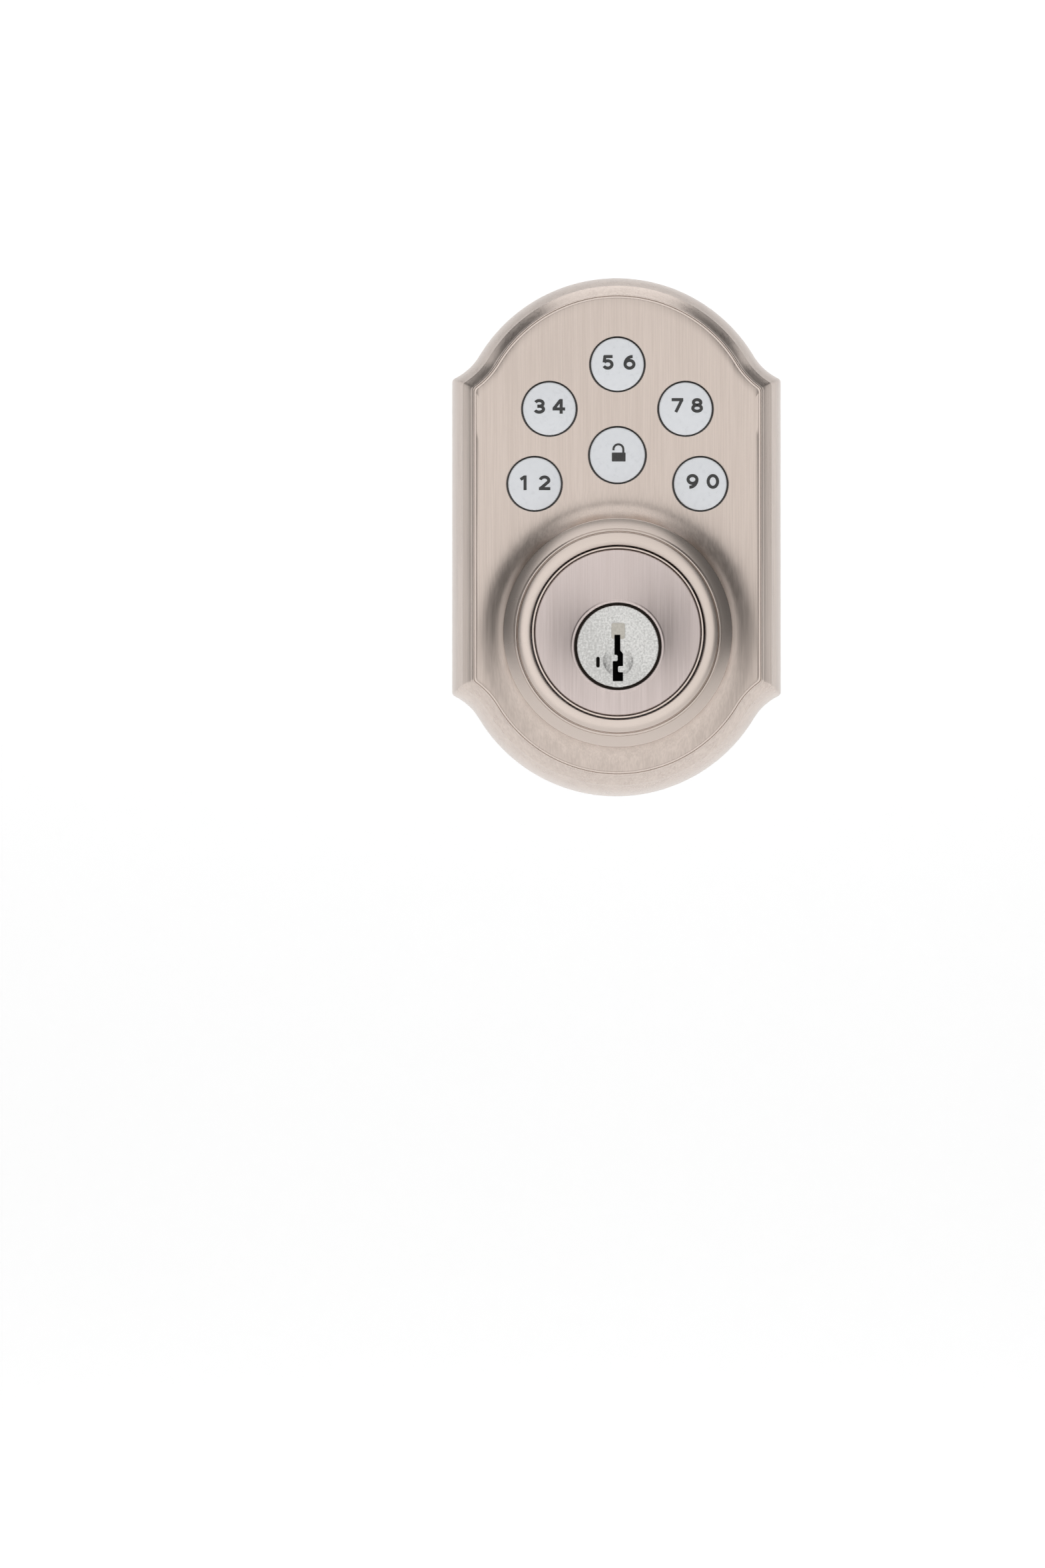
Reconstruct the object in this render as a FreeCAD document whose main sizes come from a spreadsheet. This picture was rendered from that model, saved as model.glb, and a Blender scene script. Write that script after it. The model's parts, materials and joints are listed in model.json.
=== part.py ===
"""Keypad door lock: an exterior keypad unit and an interior motor unit, as mounted on a door.

Units are millimetres. The origin is on the key plug's axis, on the door's outer face.
+Z is up, +Y goes into the door towards the room, and +X is to the right seen from outside.
"""
import FreeCAD, Part
import Sketcher
import math
import os
import re

V = FreeCAD.Vector
doc = FreeCAD.newDocument("keypad_lock")

# ---------------------------------------------------------------- driving sizes

SIZES = {
    # how far every cutting tool runs past the faces it cuts, and the play between stacked pieces
    "overrun": 1.0, "play": 0.05,
    # the door
    "door_thick": 44.45, "door_bore_radius": 27.0,
    # exterior housing: outline, depth and mouldings
    "body_width": 71.75, "body_height": 113.0, "body_centre_z": 24.2,
    "arch_radius": 35.0, "shoulder_drop": 22.1, "cove_angle": 31.0,
    "gasket_thick": 0.8, "gasket_width": 2.2, "plate_depth": 19.0,
    "side_band": 2.35, "side_band_depth": 15.0, "side_curve_inset": 0.9, "side_curve_depth": 11.5,
    "shelf_band": 4.4, "shelf_band_depth": 17.7, "lip_depth": 18.7, "lip_width": 0.5,
    "groove_width": 0.45, "groove_depth": 0.7, "housing_wall": 2.6, "housing_face_wall": 2.0,
    "shell_step_inset": 6.6, "shell_step_depth": 12.5,
    # round boss and the cylinder's face
    "boss_centre_z": 3.0, "boss_depth": 25.0, "boss_bore_radius": 18.8, "boss_flat_radius": 21.6,
    "boss_bead_radius": 22.3, "boss_step_radius": 24.7, "boss_foot_radius": 27.7,
    "boss_step_depth": 23.6, "boss_step_taper": 1.0, "disc_gap": 0.9, "disc_setback": 0.3, "disc_thick": 3.2,
    "disc_rim_radius": 10.0, "disc_rim_raise": 0.25, "disc_edge_round": 0.5,
    # cylinder barrel, plug and pins
    "barrel_radius": 15.5, "plug_face_radius": 8.8, "plug_face_gap": 0.55, "plug_face_thick": 2.0,
    "plug_radius": 8.3, "running_gap": 0.06, "pin_count": 5, "pin_pitch": 3.7, "first_pin_depth": 20.2,
    "pin_radius": 1.45, "pin_gap": 0.05, "driver_pin_length": 3.0, "chamber_top": 16.9,
    "strip_thick": 0.9, "strip_width": 4.0, "ear_spread": 19.0, "ear_radius": 4.6, "ear_depth": 12.0,
    # keyway
    "key_top": 2.5, "key_bottom": 7.5, "key_left_upper": 0.73, "key_left_lower": 1.09,
    "key_right_upper": 0.54, "key_right_lower": 1.12, "ward_reach": 0.05,
    "key_step_high": 0.9, "key_step_low": 1.54, "ward_right_high": 4.25, "ward_right_low": 5.57,
    "ward_left_high": 1.85, "ward_left_low": 3.17,
    # recesses in the plug's face
    "window_left": 1.4, "window_right": 1.55, "window_low": 1.57, "window_high": 5.06,
    "recess_depth": 1.3, "foot_left": 1.15, "foot_right": 1.1, "foot_low": 9.0,
    "tool_slot_x": 4.27, "tool_slot_half": 0.39, "tool_slot_high": 2.24, "tool_slot_low": 4.56,
    "tool_slot_slope": 0.26, "tool_slot_depth": 4.0,
    # buttons
    "button_radius": 5.7, "button_gap": 0.3, "lock_button_radius": 5.95,
    "button_dome": 0.35, "button_flange": 1.1, "button_flange_thick": 0.9, "plunger_radius": 1.8,
    "row_1_z": 61.0, "row_2_z": 51.4, "row_3_z": 41.4, "row_4_z": 35.2,
    "column_2_x": 14.7, "column_4_x": 17.9,
    # keypad board and rubber
    "board_thick": 1.6, "keypad_board_depth": 10.0, "rubber_thick": 1.0, "dome_height": 3.4,
    "dome_radius": 3.9, "dome_top_radius": 2.2, "dome_wall": 0.6, "keypad_bottom_z": 25.0,
    "keypad_post_x": 24.0, "keypad_post_z": 44.0, "keypad_post_top_z": 71.5, "lamp_half": 0.8,
    "chip_half": 5.0, "chip_thick": 1.5, "keypad_chip_low": 43.0, "keypad_chip_high": 53.0,
    "socket_half": 5.0, "socket_thick": 0.9, "socket_high": 7.0,
    # exterior back plate
    "back_plate_thick": 2.0, "fit_gap": 0.2, "spigot_gap": 0.4, "spigot_wall": 1.8,
    "spigot_length": 5.0, "post_radius": 2.6, "post_upper_x": 19.0, "post_upper_z": 66.0,
    "post_lower_x": 24.5, "post_lower_z": -13.5, "threaded_post_radius": 3.2,
    "threaded_post_reach": 8.0, "small_screw_radius": 1.25, "tiny_screw_radius": 1.0,
    "board_post_radius": 2.2, "post_clearance": 0.4, "screw_gap": 0.05, "bolt_radius": 2.0,
    "bolt_head_radius": 4.0,
    # torque blade
    "blade_width": 7.0, "blade_thick": 2.2, "blade_end": 15.5, "lug_inner": 3.2, "lug_outer": 6.2,
    "lug_angle": 26.0, "lug_rest_angle": 135.0, "lug_length": 2.0, "blade_head_radius": 6.4,
    "blade_head_thick": 2.0, "keeper_radius": 12.5, "keeper_wall": 1.2,
    # interior unit
    "inner_half_width": 32.5, "inner_low_z": -29.3, "head_room": 7.3, "inner_depth": 39.95,
    "inner_wall": 2.0, "inner_back_wall": 3.6, "mount_plate_thick": 1.6, "chassis_floor": 1.6,
    "cover_gap": 0.3, "cover_standoff": 0.5, "chassis_low_x": 15.0, "chassis_low_z": 19.5,
    "chassis_high_x": 21.0, "chassis_high_z": 60.0, "tongue_half": 1.5, "contact_half": 4.5,
    # cells and their box
    "cell_radius": 7.25, "cell_length": 50.5, "cell_nub_radius": 2.75, "cell_nub_length": 1.4,
    "cell_gap": 0.5, "cell_low_z": 19.6, "box_wall": 1.5, "contact_thick": 0.4, "contact_room": 1.1,
    # gears
    "coarse_module": 0.8, "fine_module": 0.6, "hub_teeth": 40, "idler_small_teeth": 12,
    "idler_large_teeth": 28, "pinion_teeth": 10, "idler_angle": 160.0, "motor_angle": 109.0,
    "mesh_gap": 0.12, "hub_gear_start": 5.55, "hub_step": 1.0, "gear_thick": 4.0, "large_gear_thick": 3.0,
    "level_gap": 0.8, "axle_radius": 1.5, "motor_radius": 6.0, "motor_length": 18.0,
    "motor_shaft_radius": 1.0, "gear_cover_thick": 1.4, "gear_cover_right": 24.0,
    "gear_post_left_x": 23.5, "gear_post_left_z": 10.0, "gear_post_low_x": 8.0,
    "gear_post_low_z": 19.0, "gear_post_right_x": 20.5, "gear_post_right_z": 12.0,
    "motor_edge": 0.6, "motor_nose_radius": 2.5,
    # hub and thumbturn
    "journal_radius": 7.0, "hub_neck_radius": 6.0, "turn_stem_radius": 7.9, "turn_disc_radius": 13.5,
    "turn_disc_thick": 3.5, "turn_grip_width": 9.0, "turn_grip_half": 16.0, "turn_grip_height": 12.0,
    "turn_screw_radius": 1.9, "turn_screw_head": 3.4, "tenon_half": 3.5, "turn_tip_part": 0.6,
    "turn_shoulder_part": 0.75, "turn_seat_raise": 5.5, "turn_edge": 1.2, "socket_depth": 4.7,
    # interior electronics and trim
    "control_board_start": 17.55, "control_board_top": 8.5, "program_x": 17.5, "program_z": -16.0,
    "program_radius": 2.5, "program_travel": 1.2, "control_chip_low": 18.2,
    "control_chip_high": 10.5, "buzzer_radius": 4.5, "buzzer_height": 5.0, "buzzer_x": 22.0,
    "buzzer_z": 2.0, "board_post_left_x": 18.5, "board_post_left_z": 16.0,
    "board_post_right_x": 25.5, "board_post_right_z": 6.0, "switch_half": 3.0, "led_half": 0.8,
    "light_x": -10.0, "light_z": -16.0,
    "light_radius": 1.2, "cover_post_x": 24.0, "cover_post_z": 40.0, "cover_post_low_z": -22.6,
    "cover_post_radius": 2.8, "door_half_width": 17.0, "door_low_z": 16.0, "door_thick_y": 2.0,
    "door_tongue": 1.3, "door_tongue_thick": 1.0, "rib_count": 4, "rib_half": 9.0, "rib_start": 4.0,
    "rib_pitch": 2.4, "rib_wide": 1.0, "rib_raise": 0.6,
    # wire harness
    "wire_radius": 1.6, "wire_x": 14.0, "wire_z": 14.0, "wire_front_y": -6.2, "wire_lift": 4.4,
    "wire_front_top": 25.0, "wire_back_bottom": 2.0, "wire_hole_gap": 0.9,
}

sheet = doc.addObject("Spreadsheet::Sheet", "Sizes")
for row, (alias, value) in enumerate(SIZES.items(), start=1):
    sheet.set(f"A{row}", str(value))
    sheet.setAlias(f"A{row}", alias)
doc.recompute()

WORD = re.compile(r"\b(" + "|".join(sorted(SIZES, key=len, reverse=True)) + r")\b")


def cells(text):
    """The expression with each size's name pointed at its cell."""
    return WORD.sub(r"Sizes.\1", str(text))


def size(text):
    """The value in millimetres or degrees of an expression of named sizes."""
    value = sheet.evalExpression(cells(text))
    return float(getattr(value, "Value", value))


# Levels along Y that several pieces share, as expressions of the named sizes.
RIM_Y = "-(gasket_thick)"
DISC_Y = "(-(boss_depth) + disc_setback)"
BOARD_FRONT_Y = "(-(keypad_board_depth))"
BOARD_BACK_Y = f"({BOARD_FRONT_Y} + board_thick)"
PLATE_FRONT_Y = f"({RIM_Y} - back_plate_thick)"
ROOM_Y = "door_thick"
FLOOR_Y = f"({ROOM_Y} + mount_plate_thick + 0.05)"
FLOOR_TOP_Y = f"({FLOOR_Y} + chassis_floor)"
GEAR_Y = f"({ROOM_Y} + hub_gear_start)"
LARGE_Y = f"({GEAR_Y} + gear_thick + level_gap)"
GEAR_COVER_Y = f"({LARGE_Y} + large_gear_thick + level_gap / 2 + 0.2)"
BOARD_Y = f"({ROOM_Y} + control_board_start)"
WIRE_BACK_Y = f"({BOARD_Y} + board_thick + wire_lift)"
COVER_BACK_Y = f"({ROOM_Y} + inner_depth)"
COVER_INNER_Y = f"({COVER_BACK_Y} - inner_back_wall)"
IDLER_DISTANCE = "(coarse_module * (hub_teeth + idler_small_teeth) / 2 + mesh_gap)"
MOTOR_DISTANCE = "(fine_module * (idler_large_teeth + pinion_teeth) / 2 + mesh_gap)"
IDLER_X = f"({IDLER_DISTANCE} * cos(idler_angle * 1deg))"
IDLER_Z = f"({IDLER_DISTANCE} * sin(idler_angle * 1deg))"
MOTOR_X = f"({IDLER_X} + {MOTOR_DISTANCE} * cos(motor_angle * 1deg))"
MOTOR_Z = f"({IDLER_Z} + {MOTOR_DISTANCE} * sin(motor_angle * 1deg))"

# Name, x, z and radius of each button.
BUTTONS = [
    ("button_56", "0", "row_1_z", "button_radius"),
    ("button_34", "-(column_2_x)", "row_2_z", "button_radius"),
    ("button_78", "column_2_x", "row_2_z", "button_radius"),
    ("button_lock", "0", "row_3_z", "lock_button_radius"),
    ("button_12", "-(column_4_x)", "row_4_z", "button_radius"),
    ("button_90", "column_4_x", "row_4_z", "button_radius"),
]
BACK_PLATE_POSTS = [
    ("-(post_upper_x)", "post_upper_z"), ("post_upper_x", "post_upper_z"),
    ("-(post_lower_x)", "post_lower_z"), ("post_lower_x", "post_lower_z"),
]
POST_STARTS = ["-(shelf_band_depth) + 0.5"] * 2 + ["-(shell_step_depth) - 0.5"] * 2
COVER_POSTS = [
    ("-(cover_post_x)", "cover_post_z"), ("cover_post_x", "cover_post_z"), ("0", "cover_post_low_z"),
]
BOLTS = [("-(ear_spread)", "0"), ("ear_spread", "0")]
KEYPAD_POSTS = [
    ("-(keypad_post_x)", "keypad_post_z"), ("keypad_post_x", "keypad_post_z"), ("0", "keypad_post_top_z"),
]
GEAR_POSTS = [
    ("-(gear_post_left_x)", "-(gear_post_left_z)"), ("gear_post_low_x", "-(gear_post_low_z)"),
    ("gear_post_right_x", "gear_post_right_z"),
]
BOARD_POSTS = [
    ("-(board_post_left_x)", "-(board_post_left_z)"), ("board_post_right_x", "-(board_post_right_z)"),
]
CHASSIS_SCREWS = [
    ("-(chassis_low_x)", "-(chassis_low_z)"), ("chassis_low_x", "-(chassis_low_z)"),
    ("-(chassis_high_x)", "chassis_high_z"), ("chassis_high_x", "chassis_high_z"),
]
# How far each key pin's foot stands above the top of the keyway.
PIN_LIFTS = [0.9, 0.3, 1.2, 0.6, 0.1]
BOX_LOW = "(cell_low_z - contact_room)"
BOX_HIGH = "(cell_low_z + cell_length + contact_room)"
INNER_HIGH_Z = f"({BOX_HIGH} + head_room)"
TO_Y = FreeCAD.Rotation(V(1, 0, 0), -90)

# ---------------------------------------------------------------- building blocks

counter = {}
PIECES = []


def named(kind, name):
    """A new document object whose internal name is free."""
    counter[name] = counter.get(name, 0) + 1
    return doc.addObject(kind, f"{name}_{counter[name]}")


def bind(thing, **expressions):
    for prop, text in expressions.items():
        thing.setExpression(prop.replace("__", "."), cells(text))


def move(thing, x="0", y="0", z="0"):
    bind(thing, Placement__Base__x=x, Placement__Base__y=y, Placement__Base__z=z)
    return thing


def rod(radius, start, end, x="0", z="0"):
    """A round bar along Y from start to end."""
    bar = named("Part::Cylinder", "rod")
    bar.Placement = FreeCAD.Placement(V(0, 0, 0), TO_Y)
    bind(bar, Radius=radius, Height=f"({end}) - ({start})")
    return move(bar, x, start, z)


def upright(radius, low, high, x="0", y="0"):
    """A round bar along Z from low to high."""
    bar = named("Part::Cylinder", "upright")
    bind(bar, Radius=radius, Height=f"({high}) - ({low})")
    return move(bar, x, y, low)


def block(x, y, z):
    """A box given as three (low, high) pairs."""
    box = named("Part::Box", "block")
    bind(box, Length=f"({x[1]}) - ({x[0]})", Width=f"({y[1]}) - ({y[0]})", Height=f"({z[1]}) - ({z[0]})")
    return move(box, x[0], y[0], z[0])


def fuse(*parts):
    joined = named("Part::MultiFuse", "fuse")
    joined.Shapes = list(parts)
    joined.Refine = True
    return joined


def cut(base, *tools):
    result = named("Part::Cut", "cut")
    result.Base = base
    result.Tool = tools[0] if len(tools) == 1 else fuse(*tools)
    return result


def common(first, second):
    result = named("Part::Common", "common")
    result.Base = first
    result.Tool = second
    return result


def group(*parts):
    """Separate solids kept together as one node."""
    bundle = named("Part::Compound", "group")
    bundle.Links = list(parts)
    return bundle


def shaped(shape, name="feature"):
    feature = named("Part::Feature", name)
    feature.Shape = shape
    return feature


def piece(label, thing):
    """Marks an object as a finished sub-part with its own name."""
    thing.Label = label
    PIECES.append(thing)
    return thing


def stadium(half_width, low, high, start, end):
    """An upright plate with round ends, from low to high and from start to end in depth."""
    upper = rod(half_width, start, end, "0", f"({high}) - ({half_width})")
    lower = rod(half_width, start, end, "0", f"({low}) + ({half_width})")
    middle = block((f"-({half_width})", half_width), (start, end),
                   (f"({low}) + ({half_width})", f"({high}) - ({half_width})"))
    return fuse(upper, middle, lower)


def inner_stadium(inset, start, end):
    """The interior unit's outline, moved inwards by inset."""
    return stadium(f"(inner_half_width - ({inset}))", f"(inner_low_z + ({inset}))",
                   f"({INNER_HIGH_Z} - ({inset}))", start, end)


# ---------------------------------------------------------------- sketch helpers


def new_body(label):
    body = doc.addObject("PartDesign::Body", label + "_body")
    return piece(label, body)


def origin_item(body, role):
    return next(item for item in body.Origin.OriginFeatures if item.Role == role)


def sketch_on(body, role, offset="0"):
    sketch = body.newObject("Sketcher::SketchObject", "sketch")
    sketch.AttachmentSupport = (origin_item(body, role), [""])
    sketch.MapMode = "FlatFace"
    sketch.setExpression("AttachmentOffset.Base.z", cells(offset))
    return sketch


def fix(sketch, kind, *where_and_text):
    """One dimension of a sketch, bound to an expression."""
    *where, text = where_and_text
    index = sketch.addConstraint(Sketcher.Constraint(kind, *where, size(text)))
    sketch.setExpression(f"Constraints[{index}]", cells(text))


def draw_polygon(sketch, points):
    """Closes straight lines round the points, with every corner set by two expressions."""
    corners = [V(size(a), size(b), 0) for a, b in points]
    for i, corner in enumerate(corners):
        sketch.addGeometry(Part.LineSegment(corner, corners[(i + 1) % len(corners)]), False)
    for i in range(len(corners)):
        sketch.addConstraint(Sketcher.Constraint("Coincident", i, 2, (i + 1) % len(corners), 1))
    for i, (a, b) in enumerate(points):
        fix(sketch, "DistanceX", i, 1, a)
        fix(sketch, "DistanceY", i, 1, b)
    doc.recompute()
    return sketch


def polygon(body, role, points, offset="0"):
    return draw_polygon(sketch_on(body, role, offset), points)


def turned(points, x="0", z="0"):
    """A solid of revolution about an axis along Y, from a (radius, y) outline."""
    spun = named("Part::Revolution", "turned")
    spun.Source = draw_polygon(named("Sketcher::SketchObject", "profile"), points)
    spun.Axis = V(0, 1, 0)
    spun.Angle = 360
    spun.Solid = True
    return move(spun, x, "0", z)


def circles(body, role, rounds, offset="0"):
    """Full circles given as (x, y, radius) expressions."""
    sketch = sketch_on(body, role, offset)
    for i, (a, b, radius) in enumerate(rounds):
        sketch.addGeometry(Part.Circle(V(size(a), size(b), 0), V(0, 0, 1), size(radius)), False)
        fix(sketch, "DistanceX", i, 3, a)
        fix(sketch, "DistanceY", i, 3, b)
        fix(sketch, "Radius", i, radius)
    doc.recompute()
    return sketch


def revolve(body, points):
    """Turns a (radius, y) outline about the body's own Y axis."""
    sketch = polygon(body, "XY_Plane", points)
    spun = body.newObject("PartDesign::Revolution", "turned")
    spun.Profile = sketch
    spun.ReferenceAxis = (origin_item(body, "Y_Axis"), [""])
    spun.Angle = 360
    doc.recompute()
    return spun


def pad(body, sketch, length):
    """Adds material from the sketch towards +Y."""
    grown = body.newObject("PartDesign::Pad", "pad")
    grown.Profile = sketch
    grown.Reversed = True
    bind(grown, Length=length)
    doc.recompute()
    return grown


def pocket(body, sketch, length, reverse=False):
    """Removes material from the sketch away from its normal, and checks that it did."""
    before = body.Shape.Volume
    hole = body.newObject("PartDesign::Pocket", "pocket")
    hole.Profile = sketch
    hole.Reversed = reverse
    bind(hole, Length=length)
    doc.recompute()
    if body.Shape.Volume >= before - 1e-6:
        raise RuntimeError(f"a pocket in {body.Label} removed nothing")
    return hole


# ---------------------------------------------------------------- exterior outline


def outline(inset, y):
    """The arched outline with concave shoulders at depth y, moved inwards by inset."""
    half_width = size("body_width / 2")
    rise = size("body_height / 2 - arch_radius")
    arch = size("arch_radius")
    turn = math.radians(size("cove_angle"))
    along = V(math.cos(turn), 0, math.sin(turn))
    corner = V(half_width, 0, size("body_height / 2 - shoulder_drop"))
    reach = V(0, 0, rise) + along * arch - corner
    cove = -reach.dot(reach) / (2 * reach.dot(along))
    hollow = V(0, 0, rise) + along * (arch + cove)
    side = half_width - inset
    joint = V(0, 0, rise) + along * (arch - inset)
    drop = math.sqrt((cove + inset) ** 2 - (side - hollow.x) ** 2)
    shoulder = V(side, 0, hollow.z - drop)
    chord = (shoulder + joint) * 0.5 - hollow
    middle = hollow + chord * ((cove + inset) / chord.Length)
    crown = V(0, 0, rise + arch - inset)
    centre = V(0, y, size("body_centre_z"))

    def spot(point, flip_x=1, flip_z=1):
        return V(point.x * flip_x, 0, point.z * flip_z) + centre

    def arc(a, b, c):
        return Part.Arc(a, b, c).toShape()

    edges = [
        arc(spot(joint, -1), spot(crown), spot(joint)),
        arc(spot(joint), spot(middle), spot(shoulder)),
        Part.LineSegment(spot(shoulder), spot(shoulder, 1, -1)).toShape(),
        arc(spot(shoulder, 1, -1), spot(middle, 1, -1), spot(joint, 1, -1)),
        arc(spot(joint, 1, -1), spot(crown, 1, -1), spot(joint, -1, -1)),
        arc(spot(joint, -1, -1), spot(middle, -1, -1), spot(shoulder, -1, -1)),
        Part.LineSegment(spot(shoulder, -1, -1), spot(shoulder, -1)).toShape(),
        arc(spot(shoulder, -1), spot(middle, -1), spot(joint, -1)),
    ]
    return Part.Wire(edges)


def outline_stack(levels):
    """A solid through outlines given as (inset, y) pairs, each span ruled straight."""
    wires = [outline(inset, y) for inset, y in levels]
    return Part.makeLoft(wires, True, True)


def outline_prism(inset, start, end):
    return outline_stack([(inset, start), (inset, end)])


# ---------------------------------------------------------------- exterior housing


def housing():
    rim = -size("gasket_thick")
    face = -size("plate_depth")
    lip = size("shelf_band")
    groove_in = lip + size("lip_width")
    plate_in = groove_in + size("groove_width")
    skin = outline_stack([
        (0, rim), (0.15, -size("side_curve_depth") / 2),
        (size("side_curve_inset"), -size("side_curve_depth")),
        (size("side_band"), -size("side_band_depth")),
        (size("side_band") + 0.05, -size("side_band_depth") - 0.3),
        (lip, -size("shelf_band_depth")),
        (lip + 0.05, -size("lip_depth")), (groove_in, -size("lip_depth") - 0.15),
        (groove_in, face + size("groove_depth")),
    ])
    plate = outline_prism(plate_in, face, face + size("groove_depth") + 0.5)
    solid = shaped(skin.fuse(plate), "skin")
    boss = turned([
        ("0", "-(plate_depth) + 0.5"), ("boss_foot_radius", "-(plate_depth) + 0.5"),
        ("boss_foot_radius", "-(plate_depth)"), ("boss_foot_radius - 1.4", "-(plate_depth) - 0.7"),
        ("boss_step_radius + 0.5", "-(plate_depth) - 1.9"),
        ("boss_step_radius", "-(boss_step_depth) + boss_step_taper"),
        ("boss_step_radius", "-(boss_step_depth)"), ("boss_bead_radius", "-(boss_step_depth) - 0.3"),
        ("boss_bead_radius", "-(boss_depth) + 0.5"), ("boss_flat_radius", "-(boss_depth)"),
        ("0", "-(boss_depth)"),
    ], z="boss_centre_z")
    hollow = shaped(
        outline_prism(size("housing_wall"), rim, -size("shell_step_depth")).fuse(
            outline_prism(size("shell_step_inset"), -size("shell_step_depth"),
                          face + size("housing_face_wall"))), "hollow")
    shell = cut(fuse(solid, boss), hollow)
    holes = [rod(f"{radius} + button_gap", "-(plate_depth) - overrun", "0", x, z)
             for _, x, z, radius in BUTTONS]
    holes.append(rod("boss_bore_radius", "-(boss_depth) - overrun", "0", "0", "boss_centre_z"))
    posts = [rod("post_radius", start, PLATE_FRONT_Y, x, z)
             for (x, z), start in zip(BACK_PLATE_POSTS, POST_STARTS)]
    posts += [rod("board_post_radius", "-(plate_depth) + overrun", BOARD_FRONT_Y, x, z) for x,
              z in KEYPAD_POSTS]
    pilots = [rod("small_screw_radius", f"{PLATE_FRONT_Y} - 8", "0", x, z) for x, z in BACK_PLATE_POSTS]
    pilots += [rod("tiny_screw_radius", f"{BOARD_FRONT_Y} - 4.5", "0", x, z) for x, z in KEYPAD_POSTS]
    return piece("exterior_housing", cut(fuse(cut(shell, *holes), *posts), *pilots))


# ---------------------------------------------------------------- buttons and keypad


def button(name, x, z, radius):
    """A domed cap with a retaining flange behind the face plate and a plunger."""
    face = "-(plate_depth) - 0.15"
    inner = "-(plate_depth) + housing_face_wall + fit_gap"
    reach = "-(keypad_board_depth) - dome_height - 0.02"
    body = new_body(name)
    revolve(body, [
        ("0", f"{face} - button_dome"), (f"{radius} * 0.6", f"{face} - button_dome * 0.64"),
        (f"{radius} - 0.35", f"{face}"), (radius, f"{face} + 0.35"), (radius, inner),
        (f"{radius} + button_flange", inner),
        (f"{radius} + button_flange", f"{inner} + button_flange_thick"),
        ("plunger_radius", f"{inner} + button_flange_thick"), ("plunger_radius", reach),
        ("0", reach),
    ])
    return move(body, x, "0", z)


def keypad_area(start, end, screw_hole):
    """The housing's outline above the cylinder, with room round the posts."""
    panel = shaped(outline_prism(size("housing_wall + 0.8"), size(start), size(end)), "panel")
    keep = block(("-(body_width) / 2", "body_width / 2"), (f"{start} - overrun", f"{end} + overrun"),
                 ("keypad_bottom_z", "body_centre_z + body_height / 2"))
    holes = [rod("post_radius + post_clearance", f"{start} - overrun", f"{end} + overrun", x, z)
             for x, z in BACK_PLATE_POSTS[:2]]
    holes += [rod(screw_hole, f"{start} - overrun", f"{end} + overrun", x, z) for x, z in KEYPAD_POSTS]
    return cut(common(panel, keep), *holes)


def keypad():
    """The rubber sheet with its domes, and the board with its parts."""
    front = BOARD_FRONT_Y
    back = BOARD_BACK_Y
    sheet_face = f"({front} - rubber_thick)"
    top = f"({front} - dome_height)"
    domes = [turned([("0", top), ("dome_top_radius", top), ("dome_radius", f"{sheet_face} - 0.3"),
                     ("dome_radius", f"{sheet_face} + 0.1"), ("0", f"{sheet_face} + 0.1")], x, z)
             for _, x, z, _ in BUTTONS]
    hollows = [turned([("0", f"{top} + dome_wall + 0.9"),
                       ("dome_top_radius - dome_wall", f"{top} + dome_wall + 0.9"),
                       ("dome_radius - dome_wall", f"{front} + 0.1"), ("0", f"{front} + 0.1")], x, z)
               for _, x, z, _ in BUTTONS]
    lamp_rooms = [block((f"{x} - 1.3", f"{x} + 1.3"), (f"{sheet_face} - overrun", f"{front} + overrun"),
                        (f"{z} - dome_radius - 2.6", f"{z} - dome_radius - 0.6"))
                  for _, x, z, _ in BUTTONS[:4]]
    sheet_area = keypad_area(sheet_face, f"({front} - 0.02)", "board_post_radius + post_clearance")
    piece("keypad_rubber", cut(fuse(sheet_area, *domes), *hollows, *lamp_rooms))
    piece("keypad_board", keypad_area(front, back, "tiny_screw_radius + 0.2"))
    piece("keypad_lamps", group(*[
        block((f"{x} - lamp_half", f"{x} + lamp_half"), (f"{front} - 0.75", front),
              (f"{z} - dome_radius - 2.1", f"{z} - dome_radius - 1.1"))
        for _, x, z, _ in BUTTONS[:4]]))
    piece("keypad_chip", block(("-(chip_half)", "chip_half"), (back, f"{back} + chip_thick"),
                               ("keypad_chip_low", "keypad_chip_high")))
    piece("keypad_socket", block(("wire_x - socket_half", "wire_x + socket_half"),
                                 (back, f"{back} + socket_thick"),
                                 ("wire_front_top + overrun", "wire_front_top + socket_high")))


def screw(x, z, seat, tip, radius, head_radius, head_length):
    """A cross-head screw driven from the room side, its head standing on seat."""
    top = f"({seat} + {head_length})"
    whole = turned([("0", top), (head_radius, top), (head_radius, seat), (radius, seat),
                    (radius, tip), ("0", tip)], x, z)
    slots = [block((f"{x} - {head_radius} * {a}", f"{x} + {head_radius} * {a}"),
                   (f"{top} - {head_length} * 0.6", f"{top} + overrun"),
                   (f"{z} - {head_radius} * {b}", f"{z} + {head_radius} * {b}"))
             for a, b in ((0.6, 0.13), (0.13, 0.6))]
    return cut(whole, *slots)


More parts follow.
